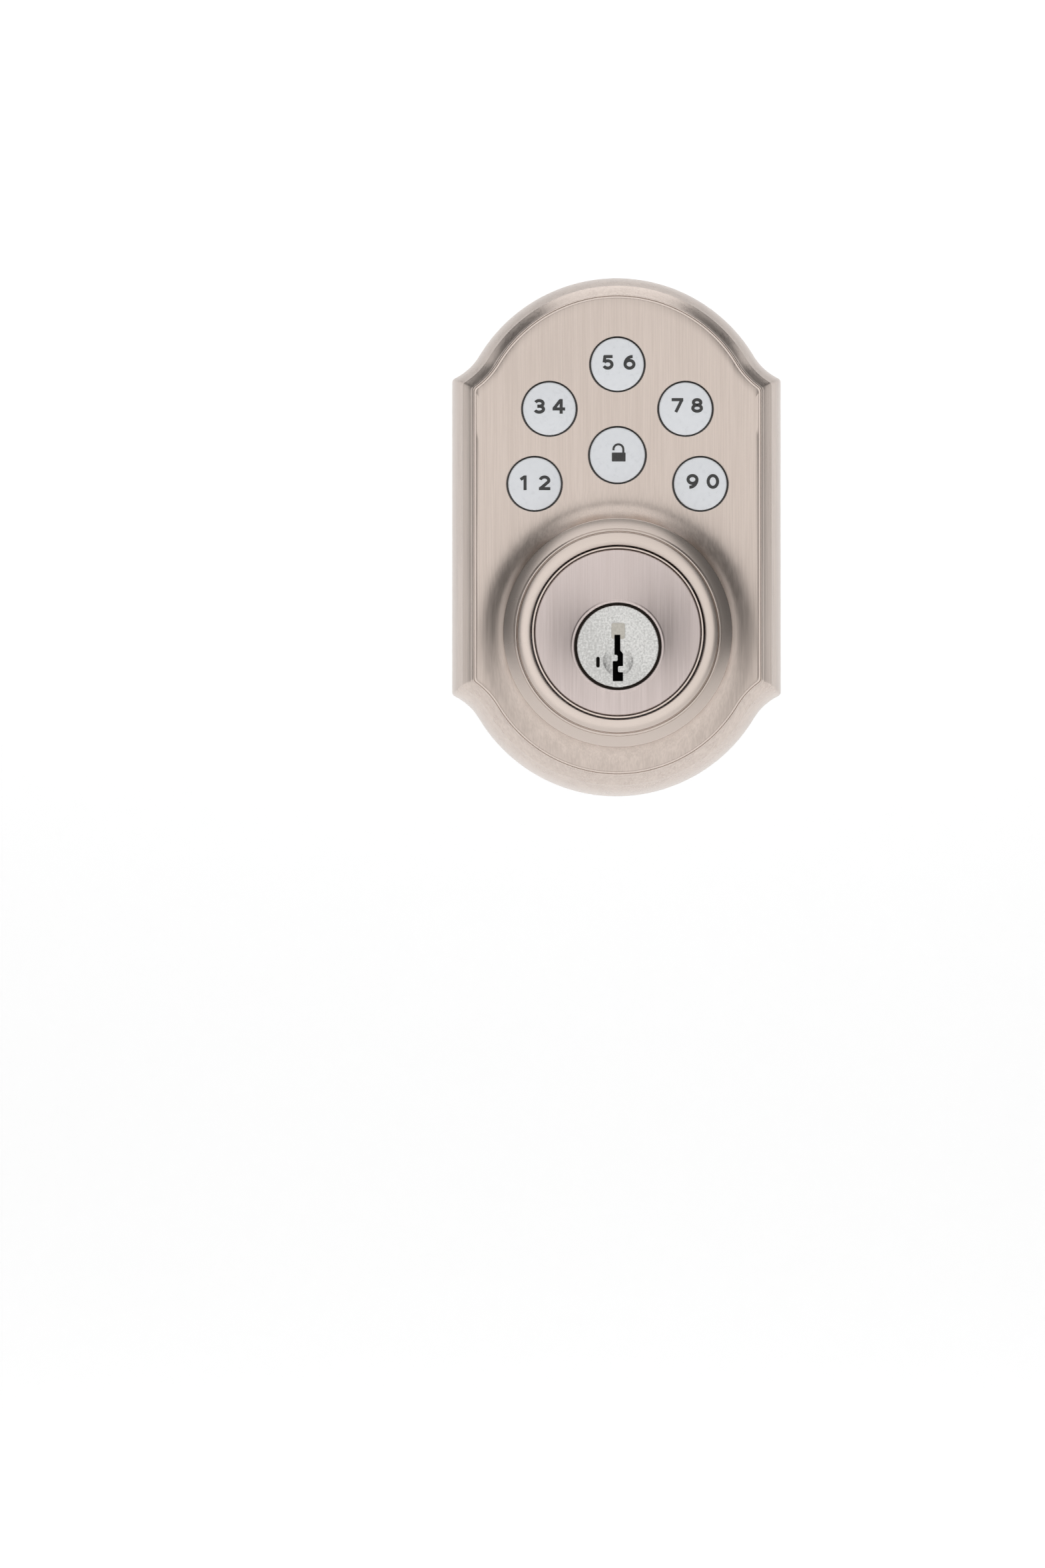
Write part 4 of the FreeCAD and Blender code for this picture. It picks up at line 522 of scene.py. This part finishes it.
# %% Flat pieces and button places
def flat_mesh(name, data, depth):
    """Makes a flat curve, drawn in millimetres, a mesh that stands upright at a depth."""
    helper = bpy.data.objects.new(name, data)
    bpy.context.scene.collection.objects.link(helper)
    graph = bpy.context.evaluated_depsgraph_get()
    mesh = bpy.data.meshes.new_from_object(helper.evaluated_get(graph))
    bpy.data.objects.remove(helper)
    flat = np.zeros(len(mesh.vertices) * 3)
    mesh.vertices.foreach_get("co", flat)
    flat = flat.reshape(-1, 3)
    upright = np.stack([flat[:, 0], depth + flat[:, 2], flat[:, 1]], -1) * MM
    mesh.vertices.foreach_set("co", upright.ravel())
    return tidy_mesh(mesh)


def cut_sheet(name, outline, front, back, rim):
    """A sheet between two depths with a closed outline and rounded rims."""
    data = bpy.data.curves.new(name, "CURVE")
    data.dimensions, data.fill_mode = "2D", "BOTH"
    spline = data.splines.new("POLY")
    spline.points.add(len(outline) - 1)
    flat = np.column_stack([outline, np.zeros(len(outline)), np.ones(len(outline))])
    spline.points.foreach_set("co", flat.ravel())
    spline.use_cyclic_u = True
    data.extrude = (back - front) / 2 - rim
    data.bevel_depth, data.bevel_resolution, data.offset = rim, 2, -rim
    return flat_mesh(name, data, (front + back) / 2)


BUTTON_NODES = ["button_12", "button_34", "button_56", "button_78", "button_90", "button_lock"]
FLANGE = 1.1


def button_place(node):
    """The centre (x, z) and cap radius of a button, in millimetres, from its solid's box."""
    low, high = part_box(node)
    return (low.x + high.x) / 2 / MM, (low.z + high.z) / 2 / MM, (high.x - low.x) / 2 / MM - FLANGE


# %% [markdown]
# ## Face plate
# The plate isn't flat all over: round the boss it rises in a wide hollow flare. So it is worked out
# on a grid of rays from the boss's centre, each running from the boss's edge to a point of the
# outline, and its depth falls off with the distance from the boss. The button holes are cut last.

# %% Upright prisms and cutting
def prism(name, outline, front, back):
    """An outline carried straight from one depth to another, with both ends closed."""
    count = len(outline)
    rows = [np.column_stack([outline[:, 0], np.full(count, y), outline[:, 1]]) for y in (front, back)]
    faces = [*ring_faces(2, count, closed=False), np.arange(count), np.arange(count, 2 * count)[::-1]]
    return grid_mesh(name, np.concatenate(rows), faces)


def cut_away(mesh, cutters):
    """The mesh less each cutter, by exact Boolean modifiers that are applied at once."""
    helper = bpy.data.objects.new("helper", mesh)
    tools = [bpy.data.objects.new("tool", cutter) for cutter in cutters]
    for thing in [helper, *tools]:
        bpy.context.scene.collection.objects.link(thing)
    for tool in tools:
        step = helper.modifiers.new("cut", "BOOLEAN")
        step.operation, step.solver, step.object = "DIFFERENCE", "EXACT", tool
    graph = bpy.context.evaluated_depsgraph_get()
    result = bpy.data.meshes.new_from_object(helper.evaluated_get(graph))
    for thing in [helper, *tools]:
        bpy.data.objects.remove(thing)
    return tidy_mesh(result)


# %% Plate surface
PLATE_FACE, BOSS_STEP, FLARE_RISE, FLARE_WIDTH = -19.0, 24.7, 3.8, 2.1
BOSS_CENTRE = np.array([BOSS_X, BOSS_Z]) / MM


def flare_depth(radius):
    """The plate's depth near the boss: a rise that dies away by the exponential of distance."""
    return PLATE_FACE - FLARE_RISE * np.exp(-(radius - BOSS_STEP) / FLARE_WIDTH)


edge = shell_outline([5.35])[0]
reach = np.linalg.norm(edge - BOSS_CENTRE, axis=1)
toward = (edge - BOSS_CENTRE) / reach[:, None]
share = np.linspace(0, 1, 44)[:, None] ** 1.9
radius = BOSS_STEP + (reach[None, :] - 0.15 - BOSS_STEP) * share
depth = flare_depth(radius)
radius = np.concatenate([np.full((1, len(edge)), BOSS_STEP), radius, reach[None, :] - 0.04,
                         reach[None, :], reach[None, :]])
depth = np.concatenate([np.full((1, len(edge)), PLATE_BACK), depth, depth[-1:] + 0.04, depth[-1:] + 0.16,
                        np.full((1, len(edge)), PLATE_BACK)])
spot = BOSS_CENTRE + toward[None] * radius[..., None]
plate_mesh = grid_mesh("housing_face_plate", np.stack([spot[..., 0], depth, spot[..., 1]], -1),
                       ring_faces(*radius.shape))
HOLE_GAP, HOLE_RIM = 0.3, 0.16
places = [button_place(node) for node in BUTTON_NODES]
plate_mesh = cut_away(plate_mesh, [prism("hole", circle(x, z, radius + HOLE_GAP + HOLE_RIM, 128), -21, -15)
                                   for x, z, radius in places])
new_piece("housing_face_plate", plate_mesh, plate_nickel, "lock_body")

# %% Rounded rims of the button holes
quarter = np.linspace(0, np.pi / 2, 6)
for node, (x, z, radius) in zip(BUTTON_NODES, places):
    hole = radius + HOLE_GAP
    top = flare_depth(np.hypot(x - BOSS_CENTRE[0], z - BOSS_CENTRE[1]))
    rim = np.stack([hole + HOLE_RIM * (1 - np.sin(quarter)), top + HOLE_RIM * (1 - np.cos(quarter))], -1)
    profile = np.concatenate([[(hole + HOLE_RIM + 0.02, top + 0.01)], rim,
                              [(hole, PLATE_BACK), (hole + 0.18, PLATE_BACK)]])
    new_piece(f"hole_rim_{node[7:]}", ringed_mesh("hole_rim", turned_levels(profile, x, z), 128),
              boss_nickel, "lock_body")

# %% [markdown]
# ## Round boss
# The boss holds the key cylinder. It rises from the plate in a hollow curve, steps back, carries a
# thin bead and ends in a flat ring. One profile turned about the boss's axis gives all of it.

# %% Boss
BOSS_FACE, BORE = -25.0, 18.8
COLLAR_IN, COLLAR_OUT, COLLAR_TOP = 18.04, 18.5, -24.4
DISC_BACK = -21.5
bead_turn = np.linspace(0.05, 0.95, 8) * np.pi
bead = np.stack([22.0 + 0.3 * np.cos(bead_turn), -24.6 - 0.34 * np.sin(bead_turn)], -1)
boss_profile = np.concatenate([
    [(BOSS_STEP, PLATE_BACK), (BOSS_STEP, -23.3), (24.64, -23.5), (24.48, -23.6), (22.55, -23.86),
     (22.36, -23.92), (22.3, -24.05)],
    bead, [(21.68, -24.68), (21.6, -24.7), (21.5, -24.94), (21.38, BOSS_FACE), (19.1, BOSS_FACE),
           (18.9, -24.94),
           (BORE, -24.8), (BORE, PLATE_BACK)]])
collar_profile = [
    (COLLAR_IN, DISC_BACK), (COLLAR_IN, COLLAR_TOP + 0.1), (COLLAR_IN + 0.08, COLLAR_TOP),
    (COLLAR_OUT - 0.1, COLLAR_TOP), (COLLAR_OUT, COLLAR_TOP + 0.1), (COLLAR_OUT, DISC_BACK),
]
new_piece("cylinder_collar", ringed_mesh("cylinder_collar",
                                         turned_levels(collar_profile, 0, BOSS_Z / MM), 192),
          boss_nickel, "lock_body")
new_piece("housing_boss", ringed_mesh("housing_boss", turned_levels(boss_profile, 0, BOSS_Z / MM), 256),
          boss_nickel, "lock_body")

# %% [markdown]
# ## Cylinder face
# The face is a disc with a hole for the plug. The hole sits lower than the disc's centre, so each
# circle of the surface has its own centre, and the faces between them fan from one to the next. A
# thin raised lip runs round the hole.

# %% Disc with its lip and barrel
disc_levels = [
    (0, 3, 17.9, DISC_BACK), (0, 3, 17.9, -24.35), (0, 3, 17.84, -24.52), (0, 3, 17.7, -24.66),
    (0, 3, 17.5, -24.7),
    (0, 0, 10.22, -24.7), (0, 0, 10.14, -24.74), (0, 0, 10.0, -24.88), (0, 0, 9.85, -24.94),
    (0, 0, 9.65, -24.94),
    (0, 0, 9.45, -24.88), (0, 0, 9.35, -24.72), (0, 0, 9.35, -22.6), (0, 0, 8.4, -22.6), (0, 0, 8.4, -2.85),
    (0, 3, 15.5, -2.85), (0, 3, 15.5, DISC_BACK),
]
new_piece("cylinder_face", ringed_mesh("cylinder_face", disc_levels, 256), disc_nickel, "lock_body",
          ["cylinder_body"])

# %% [markdown]
# ## Key plug
# The plug's face is a grid of circles pressed into a shallow dish below the middle. The keyway, the
# recesses at its two ends and the tool slot are cut from it with upright prisms, as a cutter does.
# A thin beige insert fills the recess above the keyway.

# %% Plug
PLUG_FACE = -25.0
DISH_X, DISH_Z, DISH_RADIUS, DISH_DEPTH = 0.08, -3.1, 3.25, 0.4
spread = np.linspace(0, 8.62, 60)
plug_levels = turned_levels(np.concatenate([
    np.column_stack([spread, np.full(60, PLUG_FACE)]),
    [(8.72, -24.97), (8.79, -24.88), (8.8, -24.75), (8.8, -22.75), (8.3, -22.75), (8.3, -2.75),
     (0, -2.75)]]))
plug_mesh = ringed_mesh("key_plug_face", plug_levels, 192, closed=False)
co = np.zeros(len(plug_mesh.vertices) * 3)
plug_mesh.vertices.foreach_get("co", co)
co = co.reshape(-1, 3)
off = np.hypot(co[:, 0] / MM - DISH_X, co[:, 2] / MM - DISH_Z) / DISH_RADIUS
dish = DISH_DEPTH * np.clip(1 - off ** 2, 0, None) ** 0.8 * MM
co[:, 1] += np.where(co[:, 1] < (PLUG_FACE + 0.01) * MM, dish, 0)
plug_mesh.vertices.foreach_set("co", co.ravel())

keyway = soften([(-0.73, 2.5), (0.54, 2.5), (0.54, -0.9), (1.12, -1.54), (1.12, -4.25), (0.05, -4.25),
                 (0.05, -5.57), (1.12, -5.57), (1.12, -7.5), (-1.09, -7.5), (-1.09, -3.17), (-0.05, -3.17),
                 (-0.05, -1.85), (-0.73, -1.85)],
                [0.12, 0.12, 0.2, 0.2, 0.12, 0.35, 0.35, 0.12, 0.12, 0.12, 0.12, 0.35, 0.35, 0.12], 4)
window = soften([(-1.4, 1.57), (1.55, 1.57), (1.55, 5.06), (-1.4, 5.06)], 0.5)
foot = soften([(-1.15, -9.0), (1.1, -9.0), (1.1, -7.3), (-1.15, -7.3)], 0.05)
tool_slot = np.concatenate([circle(-4.27, -2.63, 0.39, 24)[:13], circle(-4.27, -4.17, 0.39, 24)[12:], ])
CUT_START, KEYWAY_END, WINDOW_END, FOOT_END, SLOT_END = -26, -4, -24.7, -24.72, -21.5
cutters = [prism("cut_keyway", keyway, CUT_START, KEYWAY_END),
           prism("cut_window", window, CUT_START, WINDOW_END),
           prism("cut_foot", foot, CUT_START, FOOT_END), prism("cut_slot", tool_slot, CUT_START, SLOT_END)]
new_piece("key_plug", cut_away(plug_mesh, cutters), plug_cast, "plug", ["cylinder_plug"])
insert = prism("plug_window", soften([(-1.37, 1.6), (1.52, 1.6), (1.52, 5.03), (-1.37, 5.03)], 0.5),
               WINDOW_END - 0.08, WINDOW_END + 0.1)
insert = cut_away(insert, [prism("cut_keyway", keyway, CUT_START, KEYWAY_END)])
new_piece("plug_window", insert, window_beige, "plug")

# %% [markdown]
# ## Buttons and their marks
# A button is a white cap with a shallow dome and a rounded rim. Its marks are drawn with strokes: a
# stroke is a centre line given a width and a thickness, and a numeral is two or three strokes. The
# finished mark is laid onto the cap by giving every point the dome's depth at its place. The sixth
# button carries an open padlock.

# %% Button caps
CAP_FACE, DOME, CAP_RIM = -19.15, 0.35, 0.35


def dome_depth(distance, radius):
    """The cap's surface: face depth less the dome, which falls off with the square of distance."""
    return CAP_FACE - DOME * (1 - (distance / (radius - CAP_RIM)) ** 2)


def cap_profile(radius):
    """Half of the cap's section: dome, quarter-round rim, skirt, flange and plunger."""
    out = np.linspace(0, radius - CAP_RIM, 18)
    rim = np.linspace(0, np.pi / 2, 8)[1:]
    return np.concatenate([
        np.column_stack([out, dome_depth(out, radius)]),
        np.column_stack([radius - CAP_RIM + CAP_RIM * np.sin(rim), CAP_FACE + CAP_RIM * (1 - np.cos(rim))]),
        [(radius, -16.8), (radius + FLANGE, -16.8), (radius + FLANGE, -15.9), (1.8, -15.9), (1.8, -13.42),
         (0, -13.42)]])


for node in BUTTON_NODES:
    x, z, radius = button_place(node)
    levels = turned_levels(cap_profile(radius), x, z)
    new_piece(node + "_cap", ringed_mesh(node + "_cap", levels, 128, closed=False), cap_white,
              node + "_body", [node])

# %% Marks on the buttons
STROKE, MARK_LIFT = 0.66, 0.05
DIGIT_PLACES = {
    "1": (-2.35, 0.2), "2": (2.15, 0.2), "3": (-2.2, 0.5), "4": (2.0, 0.5), "5": (-2.1, 0.4),
    "6": (2.6, 0.4), "7": (-1.75, 0.7), "8": (2.5, 0.7), "9": (-1.7, 0.5), "0": (2.7, 0.5),
}


def lay_on_dome(mesh, x, z, radius):
    """Moves every point of a flat mark onto the dome: fronts stand MARK_LIFT proud, backs sink in."""
    co = np.zeros(len(mesh.vertices) * 3)
    mesh.vertices.foreach_get("co", co)
    co = co.reshape(-1, 3)
    distance = np.hypot(co[:, 0] / MM - x, co[:, 2] / MM - z)
    sink = np.where(co[:, 1] > 0, 0.12, -MARK_LIFT)
    co[:, 1] = (dome_depth(distance, radius) + sink) * MM
    mesh.vertices.foreach_set("co", co.ravel())
    return tidy_mesh(mesh)


def bow(x, z, wide, high, start, end, steps=20):
    """Part of an oval's outline, between two angles in degrees."""
    turn = np.radians(np.linspace(start, end, steps))
    return np.stack([x + wide * np.cos(turn), z + high * np.sin(turn)], -1)


def stroke_grid(line, ring):
    """Rows of four corners across a line: each point moved by half the width along the bisector of
    its two neighbouring normals, divided by the cosine of half the turn."""
    ahead = np.roll(line, -1, 0) - line
    normal = np.stack([-ahead[:, 1], ahead[:, 0]], -1) / np.linalg.norm(ahead, axis=1, keepdims=True)
    previous = np.roll(normal, 1, 0)
    if not ring:
        normal[-1], previous[0] = normal[-2], normal[0]
    half = normal + previous
    half = half / (half * normal).sum(1, keepdims=True) * STROKE / 2
    corners = [(line + half, -1.0), (line - half, -1.0), (line - half, 1.0), (line + half, 1.0)]
    return np.stack([np.column_stack([place[:, 0], np.full(len(line), y), place[:, 1]])
                     for place, y in corners], 1)


def digit_strokes(digit):
    """A numeral's centre lines about its middle, each with whether it closes on itself."""
    six = [(bow(0, -0.42, 0.96, 0.84, 0, 342), True), (bow(0.62, -0.42, 1.58, 1.67, 88, 180), False)]
    return {
        "0": [(bow(0, 0, 1.02, 1.26, 0, 350, 36), True)],
        "1": [(np.array([(0.3, -1.58), (0.3, 1.58)]), False),
              (np.array([(-0.66, 0.72), (0.16, 1.26)]), False)],
        "2": [(np.concatenate([bow(0, 0.52, 0.92, 0.73, 168, -22), [(-0.86, -1.22)]]), False),
              (np.array([(-1.2, -1.25), (1.25, -1.25)]), False)],
        "3": [(np.concatenate([bow(0, 0.63, 0.84, 0.62, 158, -90), [(-0.4, 0.01)]]), False),
              (np.concatenate([[(-0.4, 0.03)], bow(0, -0.61, 0.94, 0.64, 90, -158)]), False)],
        "4": [(np.array([(0.4, 1.34), (-1.02, -0.5)]), False),
              (np.array([(-1.3, -0.56), (1.4, -0.56)]), False),
              (np.array([(0.55, -1.58), (0.55, 1.58)]), False)],
        "5": [(np.array([(-0.85, 1.25), (1.05, 1.25)]), False),
              (np.array([(-0.6, 1.4), (-0.78, -0.02)]), False),
              (bow(0, -0.46, 0.92, 0.79, 144, -154), False)],
        "6": six,
        "7": [(np.array([(-1.25, 1.25), (1.25, 1.25)]), False),
              (np.array([(0.95, 1.2), (-0.35, -1.44)]), False)],
        "8": [(bow(0, 0.66, 0.8, 0.59, 0, 342), True), (bow(0, -0.59, 0.94, 0.66, 0, 342), True)],
        "9": [(-line, ring) for line, ring in six],
    }[digit]


def digit_mesh(digit, x, z):
    """One numeral with its middle at (x, z), as one mesh of its strokes."""
    points, faces, first = [], [], 0
    for line, ring in digit_strokes(digit):
        grid = stroke_grid(line + (x, z), ring)
        points.append(grid.reshape(-1, 3))
        faces += list(ring_faces(len(grid), 4, closed=ring) + first)
        if not ring:
            faces += [np.arange(4) + first, np.arange(4)[::-1] + first + 4 * len(grid) - 4]
        first += 4 * len(grid)
    return grid_mesh("digit_" + digit, np.concatenate(points), faces)


for node in BUTTON_NODES[:5]:
    x, z, radius = button_place(node)
    for digit in node[-2:]:
        aside, above = DIGIT_PLACES[digit]
        mark = digit_mesh(digit, x + aside, z + above)
        new_piece(f"mark_{digit}", lay_on_dome(mark, x, z, radius), mark_grey, node + "_body")

x, z, radius = button_place("button_lock")
padlock_case = soften(np.array([(-1.22, -1.39), (1.75, -1.39), (1.75, 0.52), (-1.22, 0.52)]) + (x, z), 0.16)
outer_bow = bow(0.2, 1.24, 1.29, 1.29, 0, 180, 24)
inner_bow = bow(0.2, 1.24, 0.84, 0.84, 180, 0, 24)
shackle = np.concatenate([[(1.49, 0.4)], outer_bow, [(-1.09, 1.0), (-0.64, 1.0)], inner_bow, [(1.04, 0.4)]])
for name, outline in (("mark_padlock_case", padlock_case), ("mark_padlock_bow", shackle + (x, z))):
    mark = lay_on_dome(cut_sheet(name, outline, -MARK_LIFT, MARK_LIFT, 0.01), x, z, radius)
    new_piece(name, mark, mark_grey, "button_lock_body")

# %% [markdown]
# ## Pieces whose solid is already right
# The room-side cover, the thumbturn, the screws, the blade and the plates already have their
# shapes. A copy with its loose triangles joined, its flat faces merged and its edges rounded by a
# Bevel modifier catches the light as the real edges do.

# %% Rounded copies
BODY_OF = {node: body for body, members in RECORD["behaviour"]["bodies"].items() for node in members}


def rounded_copy(node, width):
    """A joined copy of a solid, its edges rounded by width millimetres."""
    mesh = NODES[node].data.copy()
    work = bmesh.new()
    work.from_mesh(mesh)
    bmesh.ops.remove_doubles(work, verts=work.verts, dist=2e-6)
    bmesh.ops.dissolve_limit(work, angle_limit=math.radians(0.6), verts=work.verts, edges=work.edges)
    bmesh.ops.recalc_face_normals(work, faces=work.faces)
    work.to_mesh(mesh)
    work.free()
    tidy_mesh(mesh, 30.0)
    piece = new_piece(node + "_finish", mesh, SLOT_FINISHES[NODE_SLOT[node]], BODY_OF[node],
                      [node])
    bevel = piece.modifiers.new("edges", "BEVEL")
    bevel.width, bevel.segments, bevel.limit_method = width * MM, 2, "ANGLE"
    bevel.angle_limit, bevel.harden_normals = math.radians(32), True


EDGES = {
    "interior_cover": 0.7, "battery_door": 0.3, "thumbturn": 0.6, "thumbturn_screw": 0.12,
    "cover_screws": 0.12,
    "program_button": 0.2, "light_pipe": 0.15, "interior_mounting_plate": 0.15, "through_screws": 0.12,
    "torque_blade": 0.15, "blade_keeper": 0.12, "exterior_back_plate": 0.15, "exterior_gasket": 0.15,
    "threaded_posts": 0.12, "wire_harness": 0.05, "interior_chassis": 0.12,
}
for node, width in EDGES.items():
    rounded_copy(node, width)

# %% [markdown]
# ## Floor, backdrop and light
# The floor is a plain pale sweep that curves up behind the lock, so no edge shows. Metal shows what
# stands round it: large soft panels above, below and in front make the bright parts, and the dim
# room at both sides makes the dark ones.

# %% Stage
def stage_finish(name, colour, glow):
    """A matt pale finish that glows a little, so that the ground reads as plain white."""
    shader = Shader(name, base_color=(*colour, 1.0), roughness=0.9, emission_color=(1, 1, 1, 1),
                    emission_strength=glow)
    return shader.material


FLOOR_Z = -0.32
along_floor = np.linspace(-3.0, 1.2, 12)
bend = np.linspace(0, np.pi / 2, 12)[1:]
floor_line = np.concatenate([
    np.stack([along_floor, np.full(12, FLOOR_Z)], -1),
    np.stack([1.2 + 0.5 * np.sin(bend), FLOOR_Z + 0.5 * (1 - np.cos(bend))], -1), [(1.7, 3.4)]])
across = np.linspace(-2.4, 2.4, 9)
sheet = np.stack([np.broadcast_to(across, (len(floor_line), 9)),
                  np.broadcast_to(floor_line[:, :1], (len(floor_line), 9)),
                  np.broadcast_to(floor_line[:, 1:], (len(floor_line), 9))], -1)
stage_mesh = bpy.data.meshes.new("floor")
row, column = np.meshgrid(np.arange(len(floor_line) - 1), np.arange(8), indexing="ij")
first = (row * 9 + column).ravel()
stage_mesh.from_pydata(sheet.reshape(-1, 3).tolist(), [],
                       np.stack([first, first + 1, first + 10, first + 9], -1).tolist())
stage_mesh.materials.append(stage_finish("floor_white", (0.9, 0.9, 0.9), 0.45))
stage_mesh.polygons.foreach_set("use_smooth", np.ones(len(stage_mesh.polygons), bool))
floor = bpy.data.objects.new("floor", stage_mesh)
bpy.context.scene.collection.objects.link(floor)

world = bpy.context.scene.world or bpy.data.worlds.new("room")
bpy.context.scene.world = world
world.use_nodes = True
world.node_tree.nodes["Background"].inputs["Color"].default_value = (1, 1, 1, 1)
world.node_tree.nodes["Background"].inputs["Strength"].default_value = 0.15


def softbox(name, place, width, height, power):
    """A rectangular panel of light that faces the lock."""
    data = bpy.data.lights.new(name, "AREA")
    data.shape, data.size, data.size_y, data.energy = "RECTANGLE", width, height, power
    light = bpy.data.objects.new(name, data)
    light.location = place
    toward = np.array([0, 0, 0.02]) - np.array(place)
    light.rotation_euler = Vector(toward).to_track_quat("-Z", "Y").to_euler()
    bpy.context.scene.collection.objects.link(light)


softbox("front_panel", (-0.05, -2.3, 0.5), 1.5, 2.2, 12)
softbox("top_panel", (0.0, -0.1, 1.2), 1.2, 1.9, 7.5)
softbox("left_panel", (-1.25, 0.45, 0.2), 1.0, 1.5, 3.0)
softbox("right_panel", (1.25, 0.45, 0.2), 1.0, 1.5, 3.0)
bpy.context.scene.view_settings.view_transform = "Standard"
print("stage and lights set")
